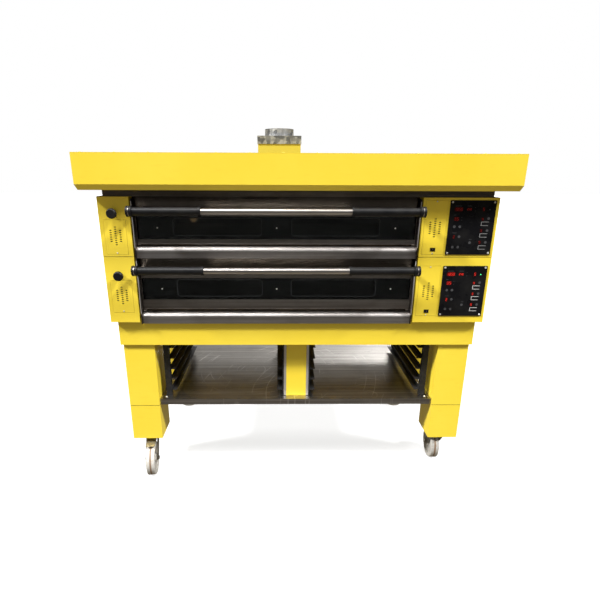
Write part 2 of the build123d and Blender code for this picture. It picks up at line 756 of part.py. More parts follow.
# Tray racks: per bay four uprights and five pairs of angle runners
rack_y = (front_y + rack_front, back_y - rack_back)
rack_z = (shelf_top + seam, ring_base - seam)
outer_upright_x = leg_inner - rack_leg_gap
runner_top = ring_base - runner_drop
runner_pitch = (runner_top - shelf_top - runner_rise) / (runner_levels - 1)
for bay, sign in (("left", -1), ("right", 1)):
    with BuildPart() as rack:
        for edge, width, inward in (
            (outer_upright_x, outer_upright_width, -1),
            (inner_upright_x, inner_upright_width, 1),
        ):
            face = edge - width if inward < 0 else edge
            upright_x = (edge - width, edge)
            for y_low in (rack_y[0], rack_y[1] - rack_upright):
                xs = sorted((sign * upright_x[0], sign * upright_x[1]))
                block(xs, (y_low, y_low + rack_upright), rack_z)
            for level in range(runner_levels):
                runner_z = runner_top - level * runner_pitch
                wall = (face + inward * seam, face + inward * (seam + sheet))
                flange = (face + inward * seam, face + inward * runner_flange)
                for pair, z_range in (
                    (wall, (runner_z, runner_z + runner_leg)),
                    (flange, (runner_z, runner_z + sheet)),
                ):
                    xs = sorted((sign * pair[0], sign * pair[1]))
                    block(xs, (rack_y[0] + 1, rack_y[1] - 1), z_range)
    save(rack, f"{bay}_tray_rack")

# Centre panel: folded yellow sheet between the two racks
with BuildPart() as centre_panel:
    panel_half = inner_upright_x - inner_upright_width - seam
    panel_front = front_y + centre_panel_front
    block((-panel_half, panel_half), (panel_front, panel_front + sheet), rack_z)
    for x_low in (-panel_half, panel_half - sheet):
        block((x_low, x_low + sheet), (panel_front, rack_y[1]), rack_z)
save(centre_panel, "centre_panel")

# Hood base: steel tray on the upper deck, with walls that carry the hood's roof
hood_roof = hood_top - sheet
base_half_width = half_width - hood_base_inset
base_y = (front_y + base_front, back_y - base_front - sheet)
with BuildPart() as hood_base:
    block((-base_half_width, base_half_width), base_y, (upper.top, upper.top + sheet))
    block((-base_half_width, base_half_width), (base_y[0], base_y[0] + sheet),
          (upper.top + sheet + seam, base_top))
    for x_low in (-base_half_width, base_half_width - sheet):
        block((x_low, x_low + sheet), (base_y[0] + sheet + seam, base_y[1]),
              (upper.top + sheet + seam, hood_roof - seam))
    block((-base_half_width + sheet + seam, base_half_width - sheet - seam), (base_y[1] - sheet, base_y[1]),
          (upper.top + sheet + seam, hood_roof - seam))
    with Locations((riser_x, riser_y, upper.top)):
        Cylinder(riser_radius, 4 * sheet, mode=Mode.SUBTRACT)
save(hood_base, "hood_base")

# Hood shell: roof, four walls and an inclined lip below each wall
hood_x = half_width + hood_overhang
hood_front = front_y - hood_overhang
with BuildPart() as hood_shell:
    block((-hood_x, hood_x), (hood_front, back_y), (hood_roof, hood_top))
    with Locations((flue_x, front_y + flue_y, hood_top)):
        Cylinder(collar_radius, 4 * sheet, mode=Mode.SUBTRACT)
    wall_z = (face_base, hood_roof - seam)
    for y_low in (hood_front, back_y - sheet):
        block((-hood_x, hood_x), (y_low, y_low + sheet), wall_z)
    for x_low in (-hood_x, hood_x - sheet):
        block((x_low, x_low + sheet), (hood_front + sheet + seam, back_y - sheet - seam), wall_z)
    # Front lip, then one lip on each side
    lip_end = bevel_inset + hood_lip
    lip_points = (
        (0, 0),
        (sheet, 0),
        (bevel_inset + sheet, -bevel_drop + sheet),
        (lip_end, -bevel_drop + sheet),
        (lip_end, -bevel_drop),
        (bevel_inset, -bevel_drop),
        (0, 0),
    )
    with BuildSketch(facing_x(-hood_x, hood_front, face_base - seam)):
        with BuildLine():
            Polyline(*lip_points)
        make_face()
    extrude(amount=2 * hood_x)
    # The lip's ends are cut back to the same slope as the lip.
    for side in (-1, 1):
        wedge_start = (side * hood_x, hood_front - 5, face_base - seam)
        with BuildSketch(Plane(origin=wedge_start, x_dir=(1, 0, 0), z_dir=(0, -1, 0))):
            with BuildLine():
                Polyline(
                    (side * 4, 0),
                    (0, 0),
                    (-side * bevel_inset, -bevel_drop),
                    (side * 4, -bevel_drop),
                    (side * 4, 0),
                )
            make_face()
        extrude(amount=-60, mode=Mode.SUBTRACT)
    for side in (-1, 1):
        side_plane = Plane(
            origin=(side * hood_x, hood_front + lip_end + 1, face_base - seam),
            x_dir=(-side, 0, 0),
            z_dir=(0, side, 0),
        )
        run = back_y - sheet - seam - (hood_front + lip_end + 1)
        with BuildSketch(side_plane):
            with BuildLine():
                Polyline(*lip_points)
            make_face()
        extrude(amount=side * run)
save(hood_shell, "hood_shell")

# Flue: square duct, galvanised cap and round collar
with BuildPart() as flue_duct:
    with BuildSketch(Plane.XY.offset(hood_top)):
        with Locations((flue_x, front_y + flue_y)):
            Rectangle(duct_size, duct_size)
            Rectangle(duct_size - 2 * sheet, duct_size - 2 * sheet, mode=Mode.SUBTRACT)
    extrude(amount=duct_height - seam)
save(flue_duct, "flue_duct")

with BuildPart() as flue_collar:
    with BuildSketch(Plane.XY.offset(duct_top)):
        with Locations((flue_x, front_y + flue_y)):
            Rectangle(cap_size, cap_size)
    extrude(amount=cap_height)
    with BuildSketch(Plane.XY.offset(duct_top)):
        with Locations((flue_x, front_y + flue_y)):
            Rectangle(duct_size - 2 * sheet, duct_size - 2 * sheet)
    extrude(amount=cap_height - sheet, mode=Mode.SUBTRACT)
    collar_start = Plane.XY.offset(cap_top - sheet).shift_origin((flue_x, front_y + flue_y, cap_top - sheet))
    round_bar(collar_start, collar_radius, collar_height + sheet)
    round_bar(collar_start, collar_radius - collar_wall, collar_height + sheet, mode=Mode.SUBTRACT)
save(flue_collar, "flue_collar")

# Casters: one mounting plate with its race under each leg, then a fork and a wheel each
plate_base = leg_base - foot_plate_thick
race_base = plate_base - race_height
caster_places = dict(zip(("front_left", "front_right", "rear_left", "rear_right"), leg_places))
with BuildPart() as plates:
    for place in caster_places.values():
        with Locations((*place, leg_base - seam - foot_plate_thick / 2)):
            Box(foot_plate, foot_plate, foot_plate_thick - seam)
        with Locations((*place, race_base)):
            Cylinder(race_radius, race_height + seam, align=(Align.CENTER, Align.CENTER, Align.MIN))
        with Locations((*place, race_base)):
            Cylinder(kingpin_radius + fit_gap, 2 * race_height, mode=Mode.SUBTRACT)
save(plates, "caster_plates")

fork_half = wheel_width / 2 + fork_gap
for corner, (caster_x, caster_y) in caster_places.items():
    # Local x of the caster's own plane points from the swivel axis to the wheel's axle.
    turn = radians(swivel_rest[corner] - 90)
    trail_dir = Vector(cos(turn), sin(turn), 0)
    side_dir = Vector(-sin(turn), cos(turn), 0)
    swivel = Vector(caster_x, caster_y, 0)
    crown = Plane(origin=swivel + Vector(0, 0, race_base - seam), x_dir=trail_dir, z_dir=(0, 0, -1))

    with BuildPart() as fork:
        round_bar(crown, race_radius - 2, 6)
        kingpin = Plane(origin=swivel + Vector(0, 0, race_base - 3), x_dir=trail_dir, z_dir=(0, 0, 1))
        round_bar(kingpin, kingpin_radius, 3 + race_height - 1)
        crown_top = race_base - seam
        for side in (-1, 1):
            cheek_origin = swivel + side_dir * (side * fork_half)
            cheek_plane = Plane(origin=cheek_origin, x_dir=trail_dir, z_dir=-side_dir)
            with BuildSketch(cheek_plane):
                with BuildLine():
                    Polyline(
                        (-race_radius + 8, crown_top - 6),
                        (-race_radius + 8, crown_top),
                        (race_radius - 8, crown_top),
                        (caster_trail + 16, wheel_radius + 8),
                        (caster_trail + 10, wheel_radius - 12),
                        (caster_trail - 10, wheel_radius - 12),
                        (-race_radius + 8, crown_top - 6),
                    )
                make_face()
            extrude(amount=-side * fork_plate)
        block_plane = Plane(origin=swivel + Vector(0, 0, crown_top), x_dir=trail_dir, z_dir=(0, 0, -1))
        with BuildSketch(block_plane):
            Rectangle(2 * (race_radius - 8), 2 * (fork_half + fork_plate))
        extrude(amount=5)
        pin_centre = swivel + trail_dir * pedal_pin_x + Vector(0, 0, crown_top - pedal_pin_drop)
        if corner.startswith("front"):
            pin_hole = Plane(origin=pin_centre - side_dir * wheel_radius, x_dir=trail_dir, z_dir=side_dir)
            round_bar(pin_hole, pedal_pin + fit_gap, 2 * wheel_radius, mode=Mode.SUBTRACT)
        wheel_centre = swivel + trail_dir * caster_trail + Vector(0, 0, wheel_radius)
        axle_half = fork_half + fork_plate + nut_thick
        axle_start = Plane(origin=wheel_centre - side_dir * axle_half, x_dir=trail_dir, z_dir=side_dir)
        round_bar(axle_start, axle_radius, 2 * axle_half)
        for nut_at in (0, 2 * axle_half - nut_thick):
            with BuildSketch(axle_start.offset(nut_at)):
                RegularPolygon(nut_radius, 6)
            extrude(amount=nut_thick)
    save(fork, f"{corner}_caster_fork")

    with BuildPart() as wheel:
        wheel_side = wheel_centre - side_dir * (wheel_width / 2)
        wheel_start = Plane(origin=wheel_side, x_dir=trail_dir, z_dir=side_dir)
        round_bar(wheel_start, wheel_radius, wheel_width)
        fillet(wheel.edges().filter_by(GeomType.CIRCLE), 8)
        for face_at, depth in ((0, 8), (wheel_width, -8)):
            with BuildSketch(wheel_start.offset(face_at)):
                Circle(wheel_radius - 18)
                Circle(24, mode=Mode.SUBTRACT)
            extrude(amount=depth, mode=Mode.SUBTRACT)
        round_bar(wheel_start, axle_radius + fit_gap, wheel_width, mode=Mode.SUBTRACT)
    save(wheel, f"{corner}_wheel")

    if corner.startswith("front"):
        # Brake pedal: bent plate on a pin in front of the crown, over the wheel
        pin_z = crown_top - pedal_pin_drop
        with BuildPart() as pedal:
            pedal_side = swivel + side_dir * (pedal_width / 2)
            pedal_plane = Plane(origin=pedal_side, x_dir=trail_dir, z_dir=-side_dir)
            with BuildSketch(pedal_plane):
                with BuildLine():
                    Polyline(
                        (pedal_pin_x, pin_z + 5),
                        (caster_trail + 2, pin_z + 5),
                        (caster_trail + 38, pin_z + 2),
                        (caster_trail + 37, pin_z - 2),
                        (caster_trail + 1, pin_z + 1),
                        (pedal_pin_x, pin_z - 5),
                        (pedal_pin_x, pin_z + 5),
                    )
                make_face()
                with Locations((pedal_pin_x, pin_z)):
                    Circle(5)
            extrude(amount=pedal_width)
            pin_half = fork_half + fork_plate
            pin_start = Plane(origin=pin_centre - side_dir * pin_half, x_dir=trail_dir, z_dir=side_dir)
            round_bar(pin_start, pedal_pin, 2 * pin_half)
        save(pedal, f"{corner}_brake_pedal")

print("overall width", 2 * hood_x, "height", collar_top, "front", handle_y - boss_radius, "back", back_y)
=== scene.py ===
import math

import bpy
from mathutils import Matrix, Vector


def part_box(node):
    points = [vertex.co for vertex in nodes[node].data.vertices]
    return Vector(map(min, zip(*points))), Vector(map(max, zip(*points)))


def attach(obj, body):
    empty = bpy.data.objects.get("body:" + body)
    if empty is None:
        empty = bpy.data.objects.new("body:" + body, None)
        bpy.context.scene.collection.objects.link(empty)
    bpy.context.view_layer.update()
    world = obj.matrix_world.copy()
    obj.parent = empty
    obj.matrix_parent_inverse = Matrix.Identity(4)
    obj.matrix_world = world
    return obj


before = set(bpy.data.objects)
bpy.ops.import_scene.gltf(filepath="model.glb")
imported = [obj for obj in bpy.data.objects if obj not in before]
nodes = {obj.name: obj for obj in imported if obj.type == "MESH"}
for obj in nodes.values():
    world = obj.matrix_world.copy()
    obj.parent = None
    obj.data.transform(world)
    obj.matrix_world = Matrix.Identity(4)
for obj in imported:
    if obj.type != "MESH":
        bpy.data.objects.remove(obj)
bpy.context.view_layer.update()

# Yellow enamel: the outer sheets of both decks, the stand and the hood.
# Folded steel sheet, sprayed and baked, with a slight orange peel, faint rub marks, and dust and
# painted shade on its tops.
# Every finish of this oven is a node material on object coordinates, made with these helpers.
decks = ("lower", "upper")


def node(tree, kind, sockets=(), **settings):
    """Adds a shader node. A socket that is given an output is linked to it."""
    made = tree.nodes.new("ShaderNode" + kind)
    for name, value in settings.items():
        setattr(made, name, value)
    for name, value in dict(sockets).items():
        if isinstance(value, bpy.types.NodeSocket):
            tree.links.new(value, made.inputs[name])
        else:
            made.inputs[name].default_value = value
    return made


def new_finish(name, **shader_values):
    """Makes a material and returns it with its tree and its shader."""
    finish = bpy.data.materials.new(name)
    finish.use_nodes = True
    shader = finish.node_tree.nodes["Principled BSDF"]
    for socket, value in shader_values.items():
        shader.inputs[socket.replace("_", " ")].default_value = value
    return finish, finish.node_tree, shader


def place(tree, stretch=(1, 1, 1), turn=(0, 0, 0)):
    """Object coordinates, stretched and turned."""
    spot = node(tree, "TexCoord").outputs["Object"]
    mapping = node(tree, "Mapping", {"Vector": spot, "Scale": stretch, "Rotation": turn})
    return mapping.outputs["Vector"]


def grain(tree, scale, stretch=(1, 1, 1), detail=4, rough=0.55):
    """Noise between 0 and 1."""
    sockets = {"Vector": place(tree, stretch), "Scale": scale, "Detail": detail, "Roughness": rough}
    return node(tree, "TexNoise", sockets).outputs["Fac"]


def steps(tree, factor, *stops):
    """Colour ramp through pairs of a position and a grey value or a colour."""
    ramp = node(tree, "ValToRGB", {"Fac": factor})
    elements = ramp.color_ramp.elements
    for index, (spot, tone) in enumerate(stops):
        tone = (tone,) * 3 if isinstance(tone, (int, float)) else tone
        element = elements[index] if index < 2 else elements.new(spot)
        element.position = spot
        element.color = (*tone, 1)
    return ramp.outputs["Color"]


def mix(tree, factor, first, second):
    """Mixes two colours. Sockets 6 and 7 of the node are its colours, and output 2 is their mix."""
    first = (*first, 1) if isinstance(first, tuple) else first
    second = (*second, 1) if isinstance(second, tuple) else second
    return node(tree, "Mix", {0: factor, 6: first, 7: second}, data_type="RGBA").outputs[2]


def shade(tone, share, lift=0.0):
    """A share of a colour, lifted a little."""
    return tuple(share * channel + lift for channel in tone)


def sums(tree, way, first, second=0.0, third=0.0):
    """Arithmetic on two or three numbers."""
    return node(tree, "Math", {0: first, 1: second, 2: third}, operation=way).outputs["Value"]


def surface(tree, shader, colour=None, roughness=None, height=None, depth=0.0005, strength=0.3):
    """Links colour, roughness and height to a shader."""
    if colour is not None:
        tree.links.new(colour, shader.inputs["Base Color"])
    if roughness is not None:
        tree.links.new(roughness, shader.inputs["Roughness"])
    if height is not None:
        bump = node(tree, "Bump", {"Height": height, "Distance": depth, "Strength": strength})
        tree.links.new(bump.outputs["Normal"], shader.inputs["Normal"])


def dress(finish, *names):
    """Puts a finish on nodes of the frame."""
    for name in names:
        nodes[name].data.materials.clear()
        nodes[name].data.materials.append(finish)


def enamel(name, main, pale, deep):
    """Baked enamel in one colour: rub marks, orange peel, and dust with painted shade where it
    faces up.
    """
    finish, tree, shader = new_finish(name, Coat_Weight=0.12, Coat_Roughness=0.2,
                                      Specular_IOR_Level=0.42)
    clouds = grain(tree, 2.3, detail=6)
    rubs = grain(tree, 9, stretch=(1, 1, 6), detail=8, rough=0.7)
    specks = node(tree, "TexVoronoi", {"Vector": place(tree), "Scale": 260.0}).outputs["Distance"]
    colour = mix(tree, steps(tree, clouds, (0.35, 0.0), (0.7, 1.0)), main, pale)
    colour = mix(tree, steps(tree, rubs, (0.55, 0.0), (0.8, 0.35)), colour, deep)
    colour = mix(tree, steps(tree, specks, (0.0, 0.3), (0.06, 0.0)), colour, deep)
    normal = node(tree, "NewGeometry").outputs["Normal"]
    facing_up = node(tree, "SeparateXYZ", {0: normal}).outputs["Z"]
    # Faces that look up are darkened: dust, and painted shade that holds back the strong light on
    # the roof.
    dust = sums(tree, "MULTIPLY", steps(tree, facing_up, (0.7, 0.0), (0.98, 0.95)),
                steps(tree, rubs, (0.3, 1.0), (0.75, 0.6)))
    colour = mix(tree, dust, colour, shade(main, 0.27, 0.015))
    roughness = sums(tree, "MULTIPLY_ADD", dust, 0.35, sums(tree, "MULTIPLY_ADD", rubs, 0.22, 0.24))
    peel = grain(tree, 420, detail=2)
    surface(tree, shader, colour, roughness, peel, 0.0002, 0.12)
    return finish


yellow = enamel("yellow_enamel", (0.87, 0.65, 0.045), (0.9, 0.69, 0.06), (0.74, 0.52, 0.03))
dress(yellow, "hood_shell", "stand_frame", "stand_skirt", "leg_extensions", "centre_panel")
# The flue duct wears a darker copy of the same enamel: painted shade, keeping it duller than the
# hood.
shaded_duct_yellow = enamel("duct_enamel_painted_shade", (0.56, 0.45, 0.05), (0.62, 0.51, 0.07), (0.42, 0.33, 0.04))
dress(shaded_duct_yellow, "flue_duct")
for deck in decks:
    for part in ("_casing", "_left_column", "_right_column", "_vent_panels"):
        dress(yellow, deck + part)

# Stainless sheet: sills, door surrounds, door frames, handle tubes, hood base and shelf.
# Brushed along its length before folding, so the grain runs across the oven.
# It has stains, and the shelf also has curved scratches.


def stainless(name, bright, dull, grain_scale=60, rough=0.3, stretch=(0.02, 1, 1)):
    """Brushed steel whose grain runs along X unless the stretch says otherwise."""
    finish, tree, shader = new_finish(name, Metallic=1.0)
    brush = grain(tree, grain_scale * 10, stretch=stretch, detail=3, rough=0.7)
    bands = grain(tree, grain_scale, stretch=stretch, detail=2)
    stains = grain(tree, 5, detail=7, rough=0.62)
    colour = mix(tree, steps(tree, bands, (0.3, 0.0), (0.7, 1.0)), dull, bright)
    colour = mix(tree, steps(tree, stains, (0.5, 0.0), (0.85, 0.6)), colour, shade(dull, 0.62))
    roughness = sums(tree, "MULTIPLY_ADD", brush, 0.24, rough - 0.12)
    roughness = sums(tree, "ADD", roughness, sums(tree, "MULTIPLY", stains, 0.08))
    surface(tree, shader, colour, roughness, brush, 0.0003, 0.2)
    return finish


steel = stainless("brushed_steel", (0.56, 0.53, 0.5), (0.34, 0.31, 0.28))
for deck in decks:
    dress(steel, deck + "_door_frame", deck + "_handle_tube")
dress(steel, "hood_base")
# The sills wear a paler, rougher copy of the steel: a painted highlight for the broad band of light
# along their noses.
highlit_sill_steel = stainless("highlit_sill_steel", (0.62, 0.59, 0.57), (0.38, 0.35, 0.33), rough=0.4)
dress(highlit_sill_steel, "lower_sill", "upper_sill")
# The door surrounds wear a darker copy of the steel: painted shade for the dark headers above the
# doors.
shaded_surround_steel = stainless("shaded_surround_steel", (0.34, 0.3, 0.26), (0.13, 0.112, 0.095), 14, 0.26)
dress(shaded_surround_steel, "lower_door_surround", "upper_door_surround")
shelf_steel = stainless("shelf_steel", (0.5, 0.48, 0.45), (0.3, 0.275, 0.255), rough=0.28)
tree = shelf_steel.node_tree
shader = tree.nodes["Principled BSDF"]
colour = shader.inputs["Base Color"].links[0].from_socket
for centre_x, centre_y, turns in ((0.27, -0.02, 5.5), (-0.42, 0.3, 4.0)):
    shift = {0: place(tree), 1: (centre_x, centre_y, 0)}
    spot = node(tree, "VectorMath", shift, operation="ADD").outputs["Vector"]
    waves = {"Vector": spot, "Scale": turns, "Distortion": 1.2, "Detail": 1.0, "Detail Scale": 0.6}
    rings = node(tree, "TexWave", waves, wave_type="RINGS", rings_direction="Z").outputs["Fac"]
    worn = sums(tree, "MULTIPLY", steps(tree, rings, (0.975, 0.0), (1.0, 0.6)),
                steps(tree, grain(tree, 4), (0.5, 0.0), (0.6, 1.0)))
    colour = mix(tree, worn, colour, (0.8, 0.78, 0.75))
tree.links.new(colour, shader.inputs["Base Color"])
dress(shelf_steel, "shelf")

# Chamber liner: aluminised steel sheet, folded and welded into a box round each baking space.
# It is straw and blue from heat, with patches of baked-on soot.
finish, tree, shader = new_finish("chamber_liner", Metallic=0.9)
heat = grain(tree, 4, detail=5)
soot = grain(tree, 30, detail=8, rough=0.7)
colour = steps(tree, heat, (0.3, (0.1, 0.085, 0.07)), (0.55, (0.16, 0.12, 0.08)),
               (0.75, (0.09, 0.1, 0.13)))
colour = mix(tree, steps(tree, soot, (0.5, 0.0), (0.8, 0.8)), colour, (0.03, 0.025, 0.02))
surface(tree, shader, colour, steps(tree, soot, (0.2, 0.35), (0.8, 0.7)), soot, 0.0005, 0.3)
dress(finish, "lower_chamber", "upper_chamber")

# Baking stones: cast cordierite tiles, laid loose on the chamber floor.
# They are pale, with pores and scorched patches.
finish, tree, shader = new_finish("baking_stone", Roughness=0.9)
pores = node(tree, "TexVoronoi", {"Vector": place(tree), "Scale": 420.0}).outputs["Distance"]
scorch = grain(tree, 6, detail=8, rough=0.68)
colour = steps(tree, scorch, (0.3, (0.42, 0.33, 0.23)), (0.6, (0.27, 0.19, 0.12)),
               (0.8, (0.09, 0.06, 0.04)))
colour = mix(tree, steps(tree, pores, (0.1, 0.8), (0.3, 0.0)), colour, (0.1, 0.07, 0.05))
surface(tree, shader, colour, None, pores, 0.001, 0.5)
dress(finish, "lower_baking_stones", "upper_baking_stones")

# Heating rods: bent tubes with a wire packed inside, above and below the stones.
# The nickel sheath has a dull grey-green oxide skin.
finish, tree, shader = new_finish("heater_sheath", Metallic=0.8)
oxide = grain(tree, 45, stretch=(0.3, 1, 1), detail=6)
colour = steps(tree, oxide, (0.3, (0.11, 0.12, 0.1)), (0.7, (0.2, 0.17, 0.13)))
surface(tree, shader, colour, steps(tree, oxide, (0.2, 0.45), (0.8, 0.75)), oxide, 0.0003, 0.3)
dress(finish, "lower_heating_elements", "upper_heating_elements")

# Mineral wool: slabs round the chambers, cut to fit between liner and casing.
# Yellow-grey felted fibres, mostly along the oven.
finish, tree, shader = new_finish("mineral_wool", Roughness=0.95, Sheen_Weight=0.3)
fibres = grain(tree, 300, stretch=(0.2, 1, 1), detail=6, rough=0.8)
colour = steps(tree, fibres, (0.3, (0.45, 0.36, 0.2)), (0.7, (0.68, 0.6, 0.42)))
surface(tree, shader, colour, None, fibres, 0.002, 0.6)
dress(finish, "insulation")

# Black mouldings: grips, pull knobs, switch bezels and rockers.
# Glass-filled plastic with a fine spark texture, polished a little where hands hold it.


def black_moulding(name, rough, texture, shine):
    """Black plastic with a fine texture."""
    finish, tree, shader = new_finish(name, Specular_IOR_Level=shine)
    spark = grain(tree, 900, detail=3)
    handling = grain(tree, 14, detail=5)
    handled = steps(tree, handling, (0.4, 0.0), (0.8, 1.0))
    colour = mix(tree, handled, (0.006, 0.006, 0.007), (0.014, 0.0135, 0.013))
    roughness = sums(tree, "MULTIPLY_ADD", handling, 0.25, rough)
    surface(tree, shader, colour, roughness, spark, 0.0003, texture)
    return finish


moulding = black_moulding("black_moulding", 0.32, 0.25, 0.28)
for deck in decks:
    dress(moulding, deck + "_handle_grips", deck + "_damper_knob", deck + "_rocker")
dress(moulding, "switch_bezels")

# Control panels: black acrylic front plates, one beside each door.
# A satin polyester sheet is glued on, a little smoother than the mouldings.
panel_black = black_moulding("panel_sheet", 0.16, 0.08, 0.2)
dress(panel_black, "lower_control_panel", "upper_control_panel")

# Control boards: one behind each panel, on spacers.
# Green glass-fibre laminate with copper tracks under the lacquer.
finish, tree, shader = new_finish("circuit_board", Roughness=0.3, Coat_Weight=0.4)
upright = place(tree, turn=(math.pi / 2, 0, 0))
tracks = node(tree, "TexBrick", {"Vector": upright, "Scale": 60.0, "Mortar Size": 0.06,
                                 "Color1": (0.01, 0.09, 0.03, 1), "Color2": (0.015, 0.12, 0.04, 1),
                                 "Mortar": (0.25, 0.16, 0.05, 1)}).outputs["Color"]
lacquer = grain(tree, 80, detail=4)
colour = mix(tree, steps(tree, lacquer, (0.4, 0.0), (0.8, 0.4)), tracks, (0.01, 0.05, 0.02))
surface(tree, shader, colour, None, lacquer, 0.0002, 0.2)
dress(finish, "control_boards")

# Tray racks: angle runners welded to uprights, a rack on each side of each bay.
# Painted black, and scraped bare along the runners by the trays' edges.
finish, tree, shader = new_finish("rack_paint", Metallic=0.3)
scrapes = grain(tree, 50, stretch=(1, 0.05, 1), detail=8, rough=0.75)
colour = steps(tree, scrapes, (0.45, (0.02, 0.02, 0.022)), (0.72, (0.05, 0.048, 0.045)),
               (0.85, (0.25, 0.24, 0.22)))
surface(tree, shader, colour, steps(tree, scrapes, (0.3, 0.5), (0.8, 0.3)), scrapes, 0.0003, 0.3)
dress(finish, "left_tray_rack", "right_tray_rack")

# Damper rods: a steel rod and gate inside each deck, and the plates that hold the casters.
# Their zinc plate is passivated: blue-white with yellow patches.


def zinc_plate(name, pale, tint):
    """Passivated zinc plate."""
    finish, tree, shader = new_finish(name, Metallic=1.0)
    patches = grain(tree, 25, detail=6)
    dust = grain(tree, 140, detail=6, rough=0.7)
    colour = mix(tree, steps(tree, patches, (0.35, 0.0), (0.7, 1.0)), pale, tint)
    colour = mix(tree, steps(tree, dust, (0.5, 0.0), (0.8, 0.55)), colour, shade(pale, 0.4))
    surface(tree, shader, colour, steps(tree, dust, (0.2, 0.28), (0.8, 0.6)), dust, 0.0003, 0.25)
    return finish


zinc = zinc_plate("zinc_plate", (0.5, 0.5, 0.49), (0.55, 0.47, 0.28))
dress(zinc, "lower_damper_rod", "upper_damper_rod", "caster_plates")

# Door glass: a heat-resistant sheet in a rebate of the door frame.
# Smoked in its mass, and smeared by hands and cloths.
finish, tree, shader = new_finish("smoked_glass", Transmission_Weight=1.0, IOR=1.38)
smears = grain(tree, 7, stretch=(1, 1, 3), detail=7, rough=0.7)
smeared = steps(tree, smears, (0.4, 0.0), (0.8, 1.0))
colour = mix(tree, smeared, (0.12, 0.125, 0.12), (0.08, 0.085, 0.08))
surface(tree, shader, colour, steps(tree, smears, (0.5, 0.015), (0.85, 0.09)))
dress(finish, "lower_door_glass", "upper_door_glass")

# Chamber lamps: heat-proof bulbs in round holders on each chamber's back wall.
# Frosted glass, and switched on, so that they glow dimly behind the windows.


def glowing(name, texture, strength, body, glow, **shader_values):
    """A finish that glows: two body colours and two glow colours, mixed by one noise."""
    finish, tree, shader = new_finish(name, Emission_Strength=strength, **shader_values)
    scale, detail, first, second = texture
    noise = grain(tree, scale, detail=detail)
    tree.links.new(steps(tree, noise, (first, glow[0]), (second, glow[1])),
                   shader.inputs["Emission Color"])
    surface(tree, shader, steps(tree, noise, (first, body[0]), (second, body[1])))
    return finish, tree, shader, noise


finish, tree, shader, frost = glowing("lamp_bulb", (200, 3, 0.3, 0.7), 0.3,
                                      ((0.55, 0.5, 0.4), (0.75, 0.7, 0.6)),
                                      ((1, 0.62, 0.25), (1, 0.72, 0.38)),
                                      Roughness=0.35, Transmission_Weight=0.3)
surface(tree, shader, height=frost, depth=0.0003, strength=0.3)
dress(finish, "chamber_lamps")

# Flue cap and collar: a round spigot on a square cap, folded from thin sheet.
# Hot-dip galvanised, with zinc flowers, and streaked where water has run down.
finish, tree, shader = new_finish("galvanised_sheet", Metallic=0.85)
flowers = node(tree, "TexVoronoi", {"Vector": place(tree), "Scale": 55.0}).outputs["Color"]
streaks = grain(tree, 70, stretch=(1, 1, 0.06), detail=5, rough=0.65)
grey = node(tree, "RGBToBW", {"Color": flowers}).outputs["Val"]
colour = steps(tree, grey, (0.2, (0.4, 0.41, 0.42)), (0.8, (0.62, 0.62, 0.61)))
colour = mix(tree, steps(tree, streaks, (0.4, 0.0), (0.75, 0.7)), colour, (0.22, 0.21, 0.2))
surface(tree, shader, colour, steps(tree, grey, (0.2, 0.32), (0.8, 0.5)), streaks, 0.0004, 0.3)
dress(finish, "flue_collar")

# Casters: pressed steel forks and brake pedals, zinc-plated, and turned nylon wheels.
# The forks are dark with floor dirt, and each wheel has a brown line where it runs on the floor.
leg_x_reach, front_leg_y, rear_leg_y = 0.833, -0.275, 0.378
fork_zinc = zinc_plate("fork_zinc", (0.2, 0.19, 0.18), (0.3, 0.25, 0.16))
pedal_zinc = zinc_plate("pedal_zinc", (0.66, 0.62, 0.5), (0.7, 0.58, 0.3))
corners = {"front_left": (-leg_x_reach, front_leg_y, 8),
           "front_right": (leg_x_reach, front_leg_y, 176),
           "rear_left": (-leg_x_reach, rear_leg_y, 100),
           "rear_right": (leg_x_reach, rear_leg_y, 262)}
for corner, (corner_x, corner_y, rest_turn) in corners.items():
    dress(fork_zinc, corner + "_caster_fork")
    if corner.startswith("front"):
        dress(pedal_zinc, corner + "_brake_pedal")
    # The tread's middle line is found along the wheel's own axle.
    heading = math.radians(rest_turn)
    axle = (math.cos(heading), math.sin(heading), 0)
    finish, tree, shader = new_finish(corner + "_nylon", Subsurface_Weight=0.1)
    shader.inputs["Subsurface Radius"].default_value = (0.004, 0.003, 0.002)
    shift = {0: place(tree), 1: (corner_x, corner_y, 0)}
    centred = node(tree, "VectorMath", shift, operation="SUBTRACT").outputs["Vector"]
    across = node(tree, "VectorMath", {0: centred, 1: axle}, operation="DOT_PRODUCT")
    off_centre = sums(tree, "ABSOLUTE", across.outputs["Value"])
    dirt = grain(tree, 60, detail=7, rough=0.7)
    colour = steps(tree, dirt, (0.35, (0.6, 0.59, 0.56)), (0.6, (0.46, 0.43, 0.38)),
                   (0.8, (0.24, 0.21, 0.17)))
    ragged = sums(tree, "ADD", off_centre, sums(tree, "MULTIPLY", dirt, 0.002))
    line = steps(tree, ragged, (0.0035, 1.0), (0.006, 0.0))
    colour = mix(tree, line, colour, (0.2, 0.11, 0.05))
    surface(tree, shader, colour, steps(tree, dirt, (0.3, 0.35), (0.8, 0.7)), dirt, 0.0004, 0.3)
    dress(finish, corner + "_wheel")

# Ventilation: a black dust mesh behind each slotted panel, and the screws that hold the panels.
# Perforated steel sheet folded at its edges; pan-head screws with a cross recess, zinc plated.
# New pieces start from a primitive, are shaped in edit mode and carry their place in their mesh.


def begin(add, **settings):
    """Adds a primitive with nothing else selected."""
    bpy.ops.object.select_all(action="DESELECT")
    add(**settings)
    return bpy.context.object


def block(size, centre=(0, 0, 0)):
    """Box to start from."""
    piece = begin(bpy.ops.mesh.primitive_cube_add, size=1, location=centre)
    piece.scale = size
    bpy.ops.object.transform_apply(location=True, scale=True)
    return piece


